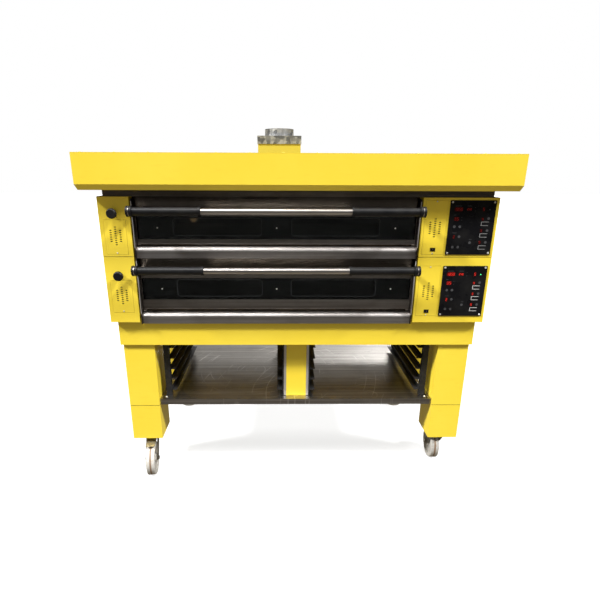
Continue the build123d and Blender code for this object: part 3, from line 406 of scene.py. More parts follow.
def rod(sides, radius, depth, middle_z=0.0):
    """Upright cylinder to start from."""
    piece = begin(bpy.ops.mesh.primitive_cylinder_add, vertices=sides, radius=radius, depth=depth,
                  location=(0, 0, middle_z))
    bpy.ops.object.transform_apply(location=True)
    return piece


def leave_edit():
    """Goes back to object mode."""
    if bpy.context.mode != "OBJECT":
        bpy.ops.object.mode_set(mode="OBJECT")


def choose(piece, test, kind="FACE"):
    """Enters edit mode with the faces or edges that pass a test.

    The test gets a face's middle and normal, or an edge's middle and run.
    """
    bpy.ops.object.mode_set(mode="EDIT")
    bpy.ops.mesh.select_mode(type=kind)
    bpy.ops.mesh.select_all(action="DESELECT")
    bpy.ops.object.mode_set(mode="OBJECT")
    if kind == "FACE":
        for face in piece.data.polygons:
            face.select = bool(test(face.center, face.normal))
    else:
        spots = [vertex.co for vertex in piece.data.vertices]
        for edge in piece.data.edges:
            first, second = (spots[index] for index in edge.vertices)
            edge.select = bool(test((first + second) / 2, (second - first).normalized()))
    bpy.ops.object.mode_set(mode="EDIT")


def faces_up(middle, normal):
    """Test for choose: the faces on top."""
    return normal.z > 0.9


def along_z(middle, way):
    """Test for choose: upright edges, or faces at the top and the bottom."""
    return abs(way.z) > 0.9


def bevel(piece, test, offset, segments):
    """Bevels the edges that pass a test."""
    choose(piece, test, "EDGE")
    bpy.ops.mesh.bevel(offset=offset, segments=segments, affect="EDGES")


def settle(piece, name, body, finish, smooth=30):
    """Leaves edit mode, applies the place, names the piece and lets it ride on its body."""
    leave_edit()
    bpy.ops.object.select_all(action="DESELECT")
    piece.select_set(True)
    bpy.context.view_layer.objects.active = piece
    bpy.ops.object.transform_apply(location=True, rotation=True, scale=True)
    if smooth:
        bpy.ops.object.shade_smooth_by_angle(angle=math.radians(smooth))
    piece.name = name
    piece.data.name = name
    piece.data.materials.clear()
    piece.data.materials.append(finish)
    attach(piece, body)
    return piece


def join(pieces):
    """Joins pieces into the first of them."""
    bpy.ops.object.select_all(action="DESELECT")
    for piece in pieces:
        piece.select_set(True)
    bpy.context.view_layer.objects.active = pieces[0]
    if len(pieces) > 1:
        bpy.ops.object.join()
    return pieces[0]


def repeat(master, name, spots, body, finish, turn=None, smooth=30):
    """Copies a small shape to many spots as one piece and removes the master."""
    leave_edit()
    turn = turn or Matrix()
    copies = []
    for spot in spots:
        mesh = master.data.copy()
        mesh.transform(Matrix.Translation(spot) @ turn)
        copy = bpy.data.objects.new(name, mesh)
        bpy.context.scene.collection.objects.link(copy)
        copies.append(copy)
    joined = join(copies)
    bpy.data.objects.remove(master)
    return settle(joined, name, body, finish, smooth)


to_front = Matrix.Rotation(math.pi / 2, 4, "X")
to_back = Matrix.Rotation(-math.pi / 2, 4, "X")
to_left = Matrix.Rotation(-math.pi / 2, 4, "Y")
to_right = Matrix.Rotation(math.pi / 2, 4, "Y")


def screw_head(radius, height, sides=20):
    """Domed screw head with a round recess, on the floor of its own space and facing up."""
    head = rod(sides, radius, height, height / 2)
    bevel(head, lambda middle, run: middle.z > height * 0.9 and abs(run.z) < 0.1, height * 0.7, 3)
    choose(head, lambda middle, normal: normal.z > 0.99 and middle.z > height * 0.9)
    bpy.ops.mesh.inset(thickness=radius * 0.12, depth=0)
    bpy.ops.mesh.inset(thickness=radius * 0.1, depth=-height * 0.55)
    leave_edit()
    return head


screw_zinc = zinc_plate("screw_zinc", (0.8, 0.8, 0.78), (0.7, 0.68, 0.6))
screw_zinc.node_tree.nodes["Principled BSDF"].inputs["Metallic"].default_value = 0.55
finish, tree, shader = new_finish("dust_mesh", Metallic=0.2, Roughness=0.8)
holes = node(tree, "TexVoronoi", {"Vector": place(tree), "Scale": 700.0}).outputs["Distance"]
surface(tree, shader, steps(tree, holes, (0.2, 0.004), (0.5, 0.045)), None, holes, 0.0004, 0.5)
slots_from_column = 0.072
slots_above_floor = {"lower": 0.143, "upper": 0.101}
left_screw_below_slots, right_screws_from_slots = 0.083, 0.124
for deck in decks:
    face_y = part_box(deck + "_vent_panels")[0].y
    left_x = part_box(deck + "_left_column")[0].x + slots_from_column
    rocker_low, rocker_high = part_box(deck + "_rocker")
    right_x = (rocker_low.x + rocker_high.x) / 2
    control_low, control_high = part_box(deck + "_control_panel")
    right_z = (control_low.z + control_high.z) / 2
    left_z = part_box(deck + "_casing")[0].z + slots_above_floor[deck]
    for side, mesh_x, mesh_z in (("left", left_x, left_z), ("right", right_x, right_z)):
        tray = block((0.07, 0.009, 0.104), (mesh_x, face_y + 0.0075, mesh_z))
        choose(tray, lambda middle, normal: normal.y > 0.9)
        bpy.ops.mesh.inset(thickness=0.0008, depth=-0.0075)
        settle(tray, f"{deck}_{side}_dust_mesh", "oven", finish)
    spots = [(left_x, face_y, left_z - left_screw_below_slots),
             (right_x, face_y, right_z + right_screws_from_slots),
             (right_x, face_y, right_z - right_screws_from_slots)]
    repeat(screw_head(0.0034, 0.0014), deck + "_vent_screws", spots, "oven", screw_zinc, to_front)

# Control panels: four corner screws, red number displays, a status lamp, printed keys and signs.
# The sheet is polyester printed from behind, and the displays shine through it.
# Places on it run from its left edge and its top, as parts of its width and height.


def printed(name, rough, dark, light, scale=1500.0, detail=3, full=0.6, relief=0.2):
    """Printed ink, a little uneven."""
    finish, tree, shader = new_finish(name, Roughness=rough)
    ink = grain(tree, scale, detail=detail)
    surface(tree, shader, steps(tree, ink, (0.3, dark), (full, light)), None, ink, 0.0001, relief)
    return finish


white_print = printed("white_print", 0.5, 0.42, (0.66, 0.66, 0.65))
pale_print = printed("pale_print", 0.5, 0.16, 0.3)
grey_print = printed("grey_print", 0.45, (0.035, 0.035, 0.038), (0.07, 0.07, 0.074))
green_lamp = glowing("green_lamp", (600, 2, 0.2, 0.8), 1.5, ((0.02, 0.2, 0.06), (0.04, 0.3, 0.1)),
                     ((0.05, 0.8, 0.25), (0.1, 1, 0.35)), Roughness=0.3)[0]
digit_red, window_red = {}, {}
for deck, digit_glow, window_glow, tint in (("lower", 0.8, 0.13, 1.0), ("upper", 0.06, 0.012, 0.4)):
    digit_red[deck] = glowing(deck + "_lit_red", (600, 2, 0.2, 0.8), digit_glow,
                              ((0.22 * tint, 0.008, 0.008), (0.3 * tint, 0.012, 0.01)),
                              ((0.9, 0.03, 0.02), (1, 0.06, 0.03)), Roughness=0.3)[0]
    window_red[deck] = glowing(deck + "_display_window", (300, 3, 0.3, 0.7), window_glow,
                               ((0.025, 0.002, 0.002), (0.04, 0.003, 0.003)),
                               ((0.7, 0.01, 0.01), (0.9, 0.02, 0.015)),
                               Roughness=0.12, Coat_Weight=0.5)[0]

# The bars of each figure, and each bar's steps across and up and whether it stands upright.
number_shapes = {"0": "abcdef", "1": "bc", "2": "abged", "3": "abgcd", "4": "fgbc", "5": "afgcd",
                 "8": "abcdefg"}
bar_places = {"a": (0, 1, 0), "d": (0, -1, 0), "g": (0, 0, 0), "b": (0.5, 0.5, 1),
              "c": (0.5, -0.5, 1), "e": (-0.5, -0.5, 1), "f": (-0.5, 0.5, 1)}
# A display is its figures, then its middle, width and height. A caption is its middle and width.
displays = (("1850", 0.19, 0.16, 0.19, 0.075), ("240", 0.42, 0.16, 0.115, 0.05),
            ("35", 0.165, 0.335, 0.12, 0.075), ("5", 0.735, 0.16, 0.05, 0.075),
            ("4", 0.735, 0.335, 0.045, 0.06), ("3", 0.735, 0.55, 0.045, 0.06),
            ("5", 0.735, 0.765, 0.05, 0.065), ("2", 0.15, 0.665, 0.045, 0.075))
key_places = ((0.135, 0.475), (0.255, 0.475), (0.265, 0.66), (0.145, 0.855), (0.265, 0.855),
              (0.515, 0.77), (0.865, 0.325), (0.865, 0.545), (0.865, 0.765))
caption_bars = ((0.18, 0.1, 0.14), (0.42, 0.1, 0.1), (0.12, 0.265, 0.05), (0.155, 0.59, 0.09),
                (0.52, 0.71, 0.06), (0.55, 0.13, 0.02), (0.55, 0.19, 0.02), (0.275, 0.305, 0.02),
                (0.275, 0.355, 0.02))
# A bracket sign is two bars joined by a short upright at the left: width, height, right and up by.
sign_bars = ((0.165, 0.0024, 0, 0.0095), (0.165, 0.0024, -0.002, -0.0075),
             (0.011, 0.019, -0.018, 0.001))
film = 0.0002
line_wide = 0.0012


def flat_bar(width, height, rise, spot):
    """Small printed bar or lamp with rounded ends, on the front at a spot."""
    bar = block((width, height, rise), (0, 0, rise / 2))
    bevel(bar, along_z, min(width, height) * 0.4, 2)
    leave_edit()
    bar.data.transform(Matrix.Translation(spot) @ to_front)
    return bar


for deck in decks:
    low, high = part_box(deck + "_control_panel")
    wide, tall = high.x - low.x, high.z - low.z

    def on_panel(across, down, out=0.0):
        return Vector((low.x + across * wide, low.y - out, high.z - down * tall))

    corner_spots = [on_panel(a, d) for a in (0.045, 0.955) for d in (0.033, 0.967)]
    repeat(screw_head(0.0048, 0.0018), deck + "_panel_screws", corner_spots, "oven", screw_zinc,
           to_front)
    windows = []
    digits = []
    for number, across, down, width, height in displays:
        windows.append(flat_bar(width * wide, height * tall, 0.0003, on_panel(across, down)))
        pitch = width * wide / len(number)
        digit_wide, digit_tall = pitch * 0.5, height * tall * 0.32
        for index, figure in enumerate(number):
            middle = on_panel(across, down, 0.0003)
            middle.x += (index - (len(number) - 1) / 2) * pitch * 0.95
            for bar_name in number_shapes[figure]:
                shift_x, shift_z, is_upright = bar_places[bar_name]
                size = (line_wide, digit_tall) if is_upright else (digit_wide, line_wide)
                spot = middle + Vector((shift_x * digit_wide, 0, shift_z * digit_tall))
                digits.append(flat_bar(*size, film, spot))
    settle(join(windows), deck + "_display_windows", "oven", window_red[deck], 0)
    settle(join(digits), deck + "_display_numbers", "oven", digit_red[deck], 0)
    is_on = deck == "lower"
    lamp_look, sign_look = (green_lamp, white_print) if is_on else (grey_print, pale_print)
    repeat(screw_head(0.0028, 0.0009, 12), deck + "_status_lamp", [on_panel(0.865, 0.165)], "oven",
           lamp_look, to_front)
    key = rod(20, 0.0065, 0.0003, 0.00015)
    choose(key, faces_up)
    bpy.ops.mesh.inset(thickness=0.0018, depth=0.0002)
    bpy.ops.mesh.inset(thickness=0.0012, depth=-0.0003)
    spots = [on_panel(*spot) for spot in key_places]
    repeat(key, deck + "_keys", spots, "oven", grey_print, to_front)
    captions = [flat_bar(width * wide, 0.0016, film, on_panel(across, down))
                for across, down, width in caption_bars]
    settle(join(captions), deck + "_caption_bars", "oven", grey_print, 0)
    signs = [flat_bar(width * wide, height, 0.0003,
                      on_panel(0.8, down) + Vector((right_by, 0, up_by)))
             for down in (0.425, 0.64, 0.865) for width, height, right_by, up_by in sign_bars]
    settle(join(signs), deck + "_bracket_signs", "oven", sign_look, 0)

# Rocker switches: a small white mark printed on each rocker, a little above its middle.
# It tilts with the rocker.
for deck in decks:
    low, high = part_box(deck + "_rocker")
    mark_spot = ((low.x + high.x) / 2, low.y - 0.0001, (low.z + high.z) / 2 + 0.001)
    mark = flat_bar(line_wide, 0.0038, film, mark_spot)
    settle(mark, deck + "_rocker_mark", deck + "_switch", white_print, 0)

# Door glass: a black ceramic print on its back, clear at two windows, and three screws.
# The print is fired on, so it is a thin layer with rounded window holes.


def sheet(wide, tall, centre=(0, 0, 0), turn=0.0):
    """Flat rectangle to start from, turned about X."""
    piece = begin(bpy.ops.mesh.primitive_plane_add, size=1, location=centre, rotation=(turn, 0, 0))
    piece.scale = (wide, tall, 1)
    bpy.ops.object.transform_apply(location=True, rotation=True, scale=True)
    return piece


def cut_across(cuts, normal):
    """Cuts the piece in edit mode all through at each point of a list."""
    for cut in cuts:
        bpy.ops.mesh.select_all(action="SELECT")
        bpy.ops.mesh.bisect(plane_co=cut, plane_no=normal)


ceramic_print = printed("ceramic_print", 0.35, 0.003, 0.007, 200, 4, full=0.7, relief=0.1)
window_from_middle, window_above_edge = 0.287, 0.0597
hole_half_wide, hole_half_tall = 0.212, 0.0405
nearly = 0.0005
for deck in decks:
    low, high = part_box(deck + "_door_glass")
    middle_x, middle_z = (low.x + high.x) / 2, (low.z + high.z) / 2
    window_z = low.z + window_above_edge
    layer_centre = (middle_x, high.y + 0.00012, middle_z)
    layer = sheet(high.x - low.x - 0.001, high.z - low.z - 0.001, layer_centre, math.pi / 2)
    bpy.ops.object.mode_set(mode="EDIT")
    edges_x = [middle_x + side * window_from_middle + reach * hole_half_wide
               for side in (-1, 1) for reach in (-1, 1)]
    cut_across([(edge, 0, 0) for edge in edges_x], (1, 0, 0))
    cut_across([(0, 0, window_z + reach * hole_half_tall) for reach in (-1, 1)], (0, 0, 1))
    leave_edit()

    def in_window(middle, normal):
        from_window_x = abs(abs(middle.x - middle_x) - window_from_middle)
        return abs(middle.z - window_z) < hole_half_tall and from_window_x < hole_half_wide

    choose(layer, in_window)
    bpy.ops.mesh.delete(type="FACE")
    bpy.ops.mesh.select_mode(type="VERT")
    bpy.ops.mesh.select_all(action="DESELECT")
    leave_edit()
    for vertex in layer.data.vertices:
        across = min(abs(vertex.co.x - edge) for edge in edges_x)
        along = abs(abs(vertex.co.z - window_z) - hole_half_tall)
        vertex.select = across < nearly and along < nearly
    bpy.ops.object.mode_set(mode="EDIT")
    bpy.ops.mesh.bevel(offset=0.01, segments=4, affect="VERTICES")
    settle(layer, deck + "_glass_print", deck + "_door", ceramic_print, 0)
    spots = [(middle_x + shift, low.y, middle_z) for shift in (-0.578, 0, 0.578)]
    repeat(screw_head(0.0036, 0.0016), deck + "_glass_screws", spots, deck + "_door", screw_zinc,
           to_front)

# Door glass: a thin line round each window, a little outside its hole.
# Printed in grey on the front of the sheet: a painted highlight along the window edges.
window_edge_highlight_print = printed("window_edge_highlight_print", 0.25, (0.03, 0.032, 0.033), (0.07, 0.073, 0.075), 900,
                       full=0.7)
for deck in decks:
    low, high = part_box(deck + "_door_glass")
    border = sheet(0.43, 0.087)
    bpy.ops.object.mode_set(mode="EDIT")
    bpy.ops.mesh.select_all(action="SELECT")
    bpy.ops.mesh.bevel(offset=0.014, segments=5, affect="VERTICES")
    bpy.ops.mesh.select_all(action="SELECT")
    bpy.ops.mesh.inset(thickness=0.0016, depth=0)
    bpy.ops.mesh.delete(type="FACE")
    spots = [((low.x + high.x) / 2 + shift, low.y - 0.00012, low.z + window_above_edge)
             for shift in (-window_from_middle, window_from_middle)]
    repeat(border, deck + "_window_borders", spots, deck + "_door", window_edge_highlight_print, to_front, 0)

# Behind each door: a braided seal round its back, pressed against the chamber's front frame when
# it is shut. Glass-fibre braid over a steel wire, clipped on. Pan-head screws hold the inner sheet.
finish, tree, shader = new_finish("glass_braid", Roughness=0.9, Sheen_Weight=0.4)
waves = {"Vector": place(tree), "Scale": 260.0, "Distortion": 2.0, "Detail": 2.0}
weave = node(tree, "TexWave", waves, bands_direction="DIAGONAL").outputs["Fac"]
wear = grain(tree, 60, detail=6)
strands = steps(tree, weave, (0.3, 0.0), (0.7, 1.0))
colour = mix(tree, strands, (0.05, 0.048, 0.045), (0.16, 0.15, 0.14))
colour = mix(tree, steps(tree, wear, (0.5, 0.0), (0.8, 0.7)), colour, (0.08, 0.06, 0.04))
surface(tree, shader, colour, None, weave, 0.0008, 0.6)


def normals_out():
    """Turns every face of the piece in edit mode outwards."""
    bpy.ops.mesh.select_all(action="SELECT")
    bpy.ops.mesh.normals_make_consistent(inside=False)


door_from_sill, door_thick, door_past_glass_x = 0.018, 0.024, 0.0033
door_past_glass_top = {"lower": 0.0495, "upper": 0.0153}
for deck in decks:
    glass_low, glass_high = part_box(deck + "_door_glass")
    door_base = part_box(deck + "_sill")[1].z + door_from_sill
    door_back = glass_low.y + door_thick
    door_top = glass_high.z + door_past_glass_top[deck]
    left_x, right_x = glass_low.x - door_past_glass_x, glass_high.x + door_past_glass_x
    seal_centre = ((left_x + right_x) / 2, door_back + 0.0001, (door_base + door_top) / 2)
    seal = sheet(right_x - left_x - 0.03, door_top - door_base - 0.02, seal_centre, -math.pi / 2)
    choose(seal, lambda middle, normal: True)
    bpy.ops.mesh.inset(thickness=0.006, depth=0)
    bpy.ops.mesh.delete(type="FACE")
    bpy.ops.mesh.select_all(action="SELECT")
    bpy.ops.mesh.extrude_region_move(TRANSFORM_OT_translate={"value": (0, 0.0014, 0)})
    leave_edit()
    bevel(seal, lambda middle, run: middle.y > door_back + 0.001 and abs(run.y) < 0.5, 0.0008, 2)
    normals_out()
    settle(seal, deck + "_door_seal", deck + "_door", finish)
    spots = [(left_x + 0.06 + step * (right_x - left_x - 0.12) / 7, door_back, door_top - 0.024)
             for step in range(8)]
    repeat(screw_head(0.0035, 0.0011, 14), deck + "_door_back_screws", spots, deck + "_door",
           screw_zinc, to_back)

# Chamber lamps: a turned ring round each holder, screwed to the back wall.
# Stainless steel, its outer edge rounded.


def outer_edge(middle, run):
    """Test for choose: the ring's outer edge on the side that shows."""
    return abs(run.z) < 0.5 and middle.z > 0 and middle.xy.length > 0.028


lamp_low, lamp_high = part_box("chamber_lamps")
for deck in decks:
    lamp_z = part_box(deck + "_baking_stones")[1].z + 0.032
    ring = rod(40, 0.029, 0.004)
    choose(ring, along_z)
    bpy.ops.mesh.inset(thickness=0.0065, depth=0)
    bpy.ops.mesh.bridge_edge_loops()
    bevel(ring, outer_edge, 0.0015, 2)
    normals_out()
    spot = ((lamp_low.x + lamp_high.x) / 2, lamp_high.y - 0.0022, lamp_z)
    repeat(ring, deck + "_lamp_ring", [spot], "oven", steel, to_front)

# Back of each deck: a steel service cover with pressed louvres for the cooling air, and screws.
# The back sheet lies a little inside the casing's edges, so nothing stands out past them.
back_inset, cover_x, cover_out = 0.004, 0.66, 0.0013
louvre_pitch = 0.016
for deck in decks:
    low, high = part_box(deck + "_casing")
    back_y = high.y - back_inset
    middle_z, deck_tall = (low.z + high.z) / 2, high.z - low.z
    cover = block((0.42, 0.0012, deck_tall - 0.07), (cover_x, back_y + 0.0007, middle_z))
    bevel(cover, lambda middle, run: abs(run.y) > 0.9, 0.006, 3)
    bevel(cover, lambda middle, run: middle.y > back_y + 0.001 and abs(run.y) < 0.1, 0.0004, 2)
    settle(cover, deck + "_service_cover", "oven", yellow)
    louvre = block((0.11, 0.008, 0.0024), (0, 0, 0.0012))
    choose(louvre, faces_up)
    bpy.ops.mesh.inset(thickness=0.001, depth=0)
    bpy.ops.transform.translate(value=(0, 0.0022, 0))
    bevel(louvre, lambda middle, run: abs(run.x) < 0.5 and abs(middle.x) > 0.05, 0.0012, 3)
    rows = int((deck_tall - 0.13) / louvre_pitch)
    spots = [(cover_x + shift, back_y + cover_out, middle_z + (row - (rows - 1) / 2) * louvre_pitch)
             for shift in (-0.125, 0, 0.125) for row in range(rows)]
    repeat(louvre, deck + "_louvres", spots, "oven", yellow, to_back)
    edge_x = [-0.93 + step * 1.86 / 9 for step in range(10)]
    spots = [(spot_x, back_y, level) for spot_x in edge_x
             for level in (low.z + 0.014, high.z - 0.014)]
    spots += [(spot_x, back_y + cover_out, middle_z + reach * (deck_tall - 0.09) / 2)
              for spot_x in (cover_x - 0.195, cover_x + 0.195) for reach in (-1, 1)]
    repeat(screw_head(0.005, 0.0022, 14), deck + "_back_screws", spots, "oven", screw_zinc, to_back)

# Sides of each deck: a removable side sheet's screws and a row of cooling slots low on each side.
# The slots are pressed outwards as small hoods.
for deck in decks:
    low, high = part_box(deck + "_casing")
    for side, face_x, turn in (("left", low.x, to_left), ("right", high.x, to_right)):
        spots = [(face_x, spot_y, level) for spot_y in (-0.36, -0.15, 0.06, 0.27, 0.465)
                 for level in (low.z + 0.02, high.z - 0.02)]
        repeat(screw_head(0.005, 0.0022, 14), f"{deck}_{side}_side_screws", spots, "oven",
               screw_zinc, turn)
        hood = block((0.006, 0.07, 0.003), (0, 0, 0.0015))
        choose(hood, faces_up)
        bpy.ops.mesh.inset(thickness=0.0008, depth=0)
        bpy.ops.transform.translate(value=(-0.0016 if side == "left" else 0.0016, 0, 0))
        bevel(hood, lambda middle, run: abs(middle.y) > 0.03, 0.001, 3)
        spots = [(face_x, 0.3 + column * 0.085, low.z + 0.07 + row * louvre_pitch)
                 for column in (0, 1) for row in range(8)]
        repeat(hood, f"{deck}_{side}_side_louvres", spots, "oven", yellow, turn)

# Hood: blind rivets along its roof and a bead of grey sealant where the duct stands on it.
# The rivets hold the roof to the walls; aluminium rivets, painted over with the hood.
low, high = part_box("hood_shell")
roof_z = high.z
rivet_from_edge = 0.02
spots = [(-0.98 + step * 1.96 / 13, spot_y, roof_z) for step in range(14)
         for spot_y in (low.y + rivet_from_edge, high.y - rivet_from_edge)]
spots += [(spot_x, -0.36 + step * 0.76 / 5, roof_z) for step in range(6)
          for spot_x in (low.x + rivet_from_edge, high.x - rivet_from_edge)]
rivet = begin(bpy.ops.mesh.primitive_uv_sphere_add, segments=14, ring_count=8, radius=0.0042)
bpy.ops.object.mode_set(mode="EDIT")
bpy.ops.mesh.select_all(action="SELECT")
bpy.ops.mesh.bisect(plane_co=(0, 0, 0), plane_no=(0, 0, 1), clear_inner=True, use_fill=True)
bpy.ops.mesh.select_all(action="SELECT")
bpy.ops.transform.resize(value=(1, 1, 0.45))
repeat(rivet, "roof_rivets", spots, "oven", yellow)
finish, tree, shader = new_finish("grey_sealant", Roughness=0.6)
lumps = grain(tree, 90, detail=4)
colour = steps(tree, lumps, (0.3, (0.22, 0.22, 0.21)), (0.7, (0.33, 0.33, 0.32)))
surface(tree, shader, colour, None, lumps, 0.001, 0.5)
low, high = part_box("flue_duct")
centre = ((low.x + high.x) / 2, (low.y + high.y) / 2, roof_z)
bead = sheet(high.x - low.x, high.y - low.y, centre)


def at_foot(middle, run):
    """Test for choose: the bead's level edges on the roof."""
    return middle.z < roof_z + 0.001 and abs(run.z) < 0.5


def at_foot_on_duct(middle, run):
    """Test for choose: the edges on the roof that lie under the duct's walls."""
    from_centre = max(abs(middle.x - centre[0]), abs(middle.y - centre[1]))
    return middle.z < roof_z + 0.001 and from_centre < 0.1085


choose(bead, lambda middle, normal: True)
bpy.ops.mesh.extrude_region_move(TRANSFORM_OT_translate={"value": (0, 0, 0.007)})
leave_edit()
choose(bead, along_z)
bpy.ops.mesh.delete(type="FACE")
choose(bead, at_foot, "EDGE")
bpy.ops.mesh.extrude_region_move()
bpy.ops.transform.resize(value=(1.075, 1.075, 1), center_override=centre)
leave_edit()
bevel(bead, at_foot_on_duct, 0.004, 3)
normals_out()
settle(bead, "duct_sealant", "oven", finish)

# Stand: weld beads where the legs meet the ring, lightly ground and painted over; black plastic
# gaskets in the leg joints; zinc-plated hexagon bolts under the caster plates and cross-head
# screws in the shelf.
ring_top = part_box("stand_frame")[1].z
leg_joint_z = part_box("leg_extensions")[1].z
leg_centres = [(leg_x, leg_y) for leg_x in (-leg_x_reach, leg_x_reach)
               for leg_y in (front_leg_y, rear_leg_y)]
beads = []
for leg_x, leg_y in leg_centres:
    for side in (-1, 1):
        weld = begin(bpy.ops.mesh.primitive_cylinder_add, vertices=10, radius=0.0035, depth=0.15,
                     rotation=(0, math.pi / 2, 0))
        bpy.ops.object.transform_apply(rotation=True)
        bpy.ops.object.mode_set(mode="EDIT")
        cut_across([(-0.07 + cut * 0.01, 0, 0) for cut in range(15)], (1, 0, 0))
        leave_edit()
        for vertex in weld.data.vertices:
            ripple = 1 + 0.22 * math.cos(vertex.co.x * 628)
            vertex.co.y *= ripple
            vertex.co.z *= ripple
        weld.location = (leg_x, leg_y + side * 0.0835, ring_top - 0.0605)
        bpy.ops.object.transform_apply(location=True)
        beads.append(weld)
settle(join(beads), "leg_weld_beads", "oven", yellow)
gasket = block((0.1626, 0.1656, 0.0018))
choose(gasket, along_z)
bpy.ops.mesh.inset(thickness=0.004, depth=0)
bpy.ops.mesh.bridge_edge_loops()
bevel(gasket, lambda middle, run: abs(run.z) > 0.9 and abs(middle.x) > 0.08, 0.001, 2)
normals_out()
spots = [(leg_x, leg_y, leg_joint_z + 0.0003) for leg_x, leg_y in leg_centres]
repeat(gasket, "leg_joint_gaskets", spots, "oven", moulding)
bolt = rod(6, 0.0075, 0.005, 0.0025)
choose(bolt, faces_up)
bpy.ops.mesh.inset(thickness=0.0012, depth=0.0006)
plate_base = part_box("caster_plates")[1].z - 0.0077
bolt_reach = (-0.043, 0.043)
spots = [(leg_x + shift_x, leg_y + shift_y, plate_base) for leg_x, leg_y in leg_centres
         for shift_x in bolt_reach for shift_y in bolt_reach]
upside_down = Matrix.Rotation(math.pi, 4, "X")
repeat(bolt, "caster_plate_bolts", spots, "oven", screw_zinc, upside_down)
shelf_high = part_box("shelf")[1]
spots = [(side * (shelf_high.x - 0.03), spot_y, shelf_high.z) for side in (-1, 1)
         for spot_y in (-0.32, 0.05, 0.42)]
repeat(screw_head(0.006, 0.0025, 16), "shelf_screws", spots, "oven", screw_zinc)

# Handles: a domed plug in each end of the grips.
# Moulded with the same black plastic as the grips.
for deck in decks:
    low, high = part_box(deck + "_handle_grips")
    spot_y, spot_z = (low.y + high.y) / 2, (low.z + high.z) / 2
    for side, face_x, turn in (("left", low.x, to_left), ("right", high.x, to_right)):
        plug = rod(32, 0.014, 0.0012, -0.0004)
        choose(plug, faces_up)
        bpy.ops.mesh.inset(thickness=0.003, depth=0.0004)
        spots = [(face_x, spot_y, spot_z)]
        repeat(plug, f"{deck}_{side}_grip_plug", spots, deck + "_door", moulding, turn)

# Door surrounds: half-round wire along the front edge of each cheek, spot-welded to it.
# Stainless, its colour brightened into a painted highlight along each cheek's front edge.
painted_highlight_steel = stainless("painted_highlight_steel", (0.85, 0.83, 0.8), (0.66, 0.63, 0.6), rough=0.34,
                         stretch=(1, 1, 0.02))
painted_highlight_steel.node_tree.nodes["Principled BSDF"].inputs["Metallic"].default_value = 0.75
wire_from_edge = 0.0024
for deck in decks:
    low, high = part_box(deck + "_door_surround")
    bead_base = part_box(deck + "_sill")[1].z
    bead_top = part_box(deck + "_left_column")[1].z - 0.02
    wire = rod(16, 0.0022, bead_top - bead_base)
    bevel(wire, lambda middle, run: abs(run.z) < 0.1, 0.0012, 3)
    bpy.ops.mesh.select_all(action="SELECT")
    bpy.ops.mesh.bisect(plane_co=(0, 0, 0), plane_no=(0, 1, 0), clear_outer=True, use_fill=True)
    spots = [(edge_x, low.y, (bead_base + bead_top) / 2)
             for edge_x in (low.x + wire_from_edge, high.x - wire_from_edge)]
    repeat(wire, deck + "_cheek_beads", spots, "oven", painted_highlight_steel)

# Centre panel: a trim down each side, where it meets the racks.
# Folded from thin steel sheet, its edges broken.
low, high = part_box("centre_panel")
for side, sign in (("left", -1), ("right", 1)):
    rack_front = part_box(side + "_tray_rack")[0].y
    trim_centre = (sign * (high.x + 0.0069), rack_front - 0.0006, (low.z + high.z) / 2)
    trim = block((0.0125, 0.0008, high.z - low.z - 0.004), trim_centre)
    bevel(trim, along_z, 0.0003, 2)
    # The trims wear the brightened steel too: a painted highlight along each side of the panel.
    settle(trim, side + "_panel_trim", "oven", painted_highlight_steel)

# Floor: one pale sheet of paper, lying flat.
# No diffuse or glossy ray sees it, so it throws no light up at the oven and isn't mirrored in it.
bpy.ops.object.select_all(action="DESELECT")
bpy.ops.mesh.primitive_plane_add(size=60)
floor = bpy.context.object
floor.name = "studio_floor"
floor.visible_diffuse = False
floor.visible_glossy = False
finish, tree, shader = new_finish("studio_paper", Roughness=0.85, Specular_IOR_Level=0.1,
                                  Emission_Strength=0.8)
paper = grain(tree, 40, detail=5)
surface(tree, shader, steps(tree, paper, (0.3, 0.3), (0.7, 0.34)), None, paper, 0.0004, 0.1)
shader.inputs["Emission Color"].default_value = (0.98, 0.98, 0.97, 1)
floor.data.materials.append(finish)


# Light: soft ceiling lights on each side and in front, and a weaker one behind, all far away.
# The room is one gradient to diffuse rays. To glossy rays it is dim at its middle, brighter low
# down and white towards its ceiling. The camera itself sees white.


def ceiling_light(name, heading, strength, softness):
    """Far light that travels along a heading."""
    light = bpy.data.lights.new(name, "SUN")
    light.energy = strength
    light.angle = math.radians(softness)
    lamp = bpy.data.objects.new(name, light)
    bpy.context.scene.collection.objects.link(lamp)
    lamp.rotation_euler = Vector(heading).to_track_quat("-Z", "Y").to_euler()


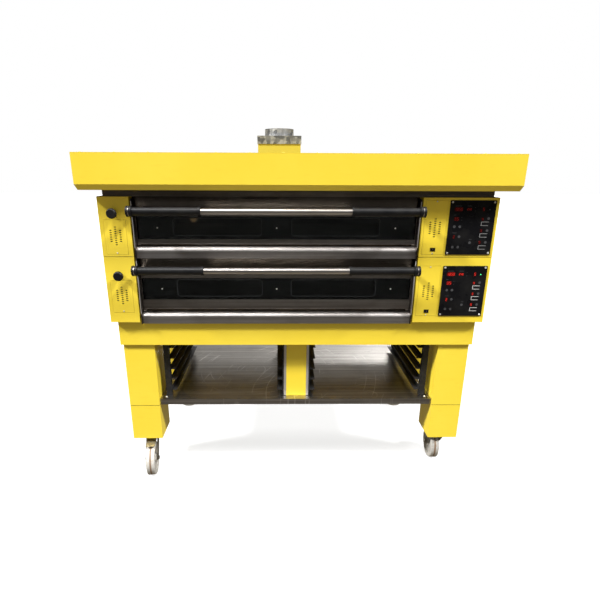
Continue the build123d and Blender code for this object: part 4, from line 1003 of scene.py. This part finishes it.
ceiling_light("left_lights", (1.05, 0.36, -1.0), 4.3, 6)
ceiling_light("right_lights", (-0.95, 0.36, -1.0), 3.3, 6)
ceiling_light("front_lights", (0.15, 0.42, -1.0), 2.5, 16)
ceiling_light("back_lights", (-0.35, -0.9, -0.9), 1.8, 12)
world = bpy.data.worlds.new("room")
world.use_nodes = True
tree = world.node_tree
shine = tree.nodes["Background"]
heading = node(tree, "TexCoord").outputs["Generated"]
height = node(tree, "SeparateXYZ", {0: heading}).outputs["Z"]
patches = node(tree, "TexNoise", {"Vector": heading, "Scale": 3.0, "Detail": 3.0}).outputs["Fac"]
uneven = sums(tree, "MULTIPLY", sums(tree, "SUBTRACT", patches, 0.5), 0.2)
ragged = sums(tree, "ADD", height, uneven)
fill = steps(tree, sums(tree, "MULTIPLY_ADD", height, 0.5, 0.5), (0.3, (0.4, 0.35, 0.27)),
             (0.5, (0.2, 0.19, 0.17)), (0.8, 0.32))
gleam = steps(tree, sums(tree, "MULTIPLY_ADD", ragged, 0.5, 0.5), (0.2, (0.34, 0.3, 0.25)),
              (0.32, (0.016, 0.013, 0.01)), (0.5, (0.018, 0.015, 0.012)),
              (0.66, (0.09, 0.086, 0.08)), (0.85, (1.0, 1.0, 0.98)))
rays = node(tree, "LightPath").outputs
room = mix(tree, rays["Is Glossy Ray"], fill, gleam)
tree.links.new(mix(tree, rays["Is Camera Ray"], room, (1.0, 1.0, 1.0)), shine.inputs["Color"])
shine.inputs["Strength"].default_value = 1.0
bpy.context.scene.world = world
bpy.context.scene.view_settings.view_transform = "Standard"

# Camera: eye height in front of the oven, a little left of its middle, tilted down.
# Its place, turn and lens were fitted to points of the oven in the photograph.
camera_spot = (-0.09828, -2.4503, 1.6754)
yaw, tilt, roll = (math.radians(angle) for angle in (-0.7, 16.82, 0.23))
ahead = Vector((math.sin(-yaw) * math.cos(tilt), math.cos(yaw) * math.cos(tilt), -math.sin(tilt)))
level = Vector((math.cos(yaw), math.sin(yaw), 0))
upright = level.cross(ahead)
right = level * math.cos(roll) + upright * math.sin(roll)
up = upright * math.cos(roll) - level * math.sin(roll)
lens = bpy.data.cameras.new("front_camera")
lens.lens = 25.62
lens.shift_x = 0.0276
camera = bpy.data.objects.new("front_camera", lens)
bpy.context.scene.collection.objects.link(camera)
camera_turn = Matrix((right, up, -ahead)).transposed().to_4x4()
camera.matrix_world = Matrix.Translation(camera_spot) @ camera_turn
bpy.context.scene.camera = camera
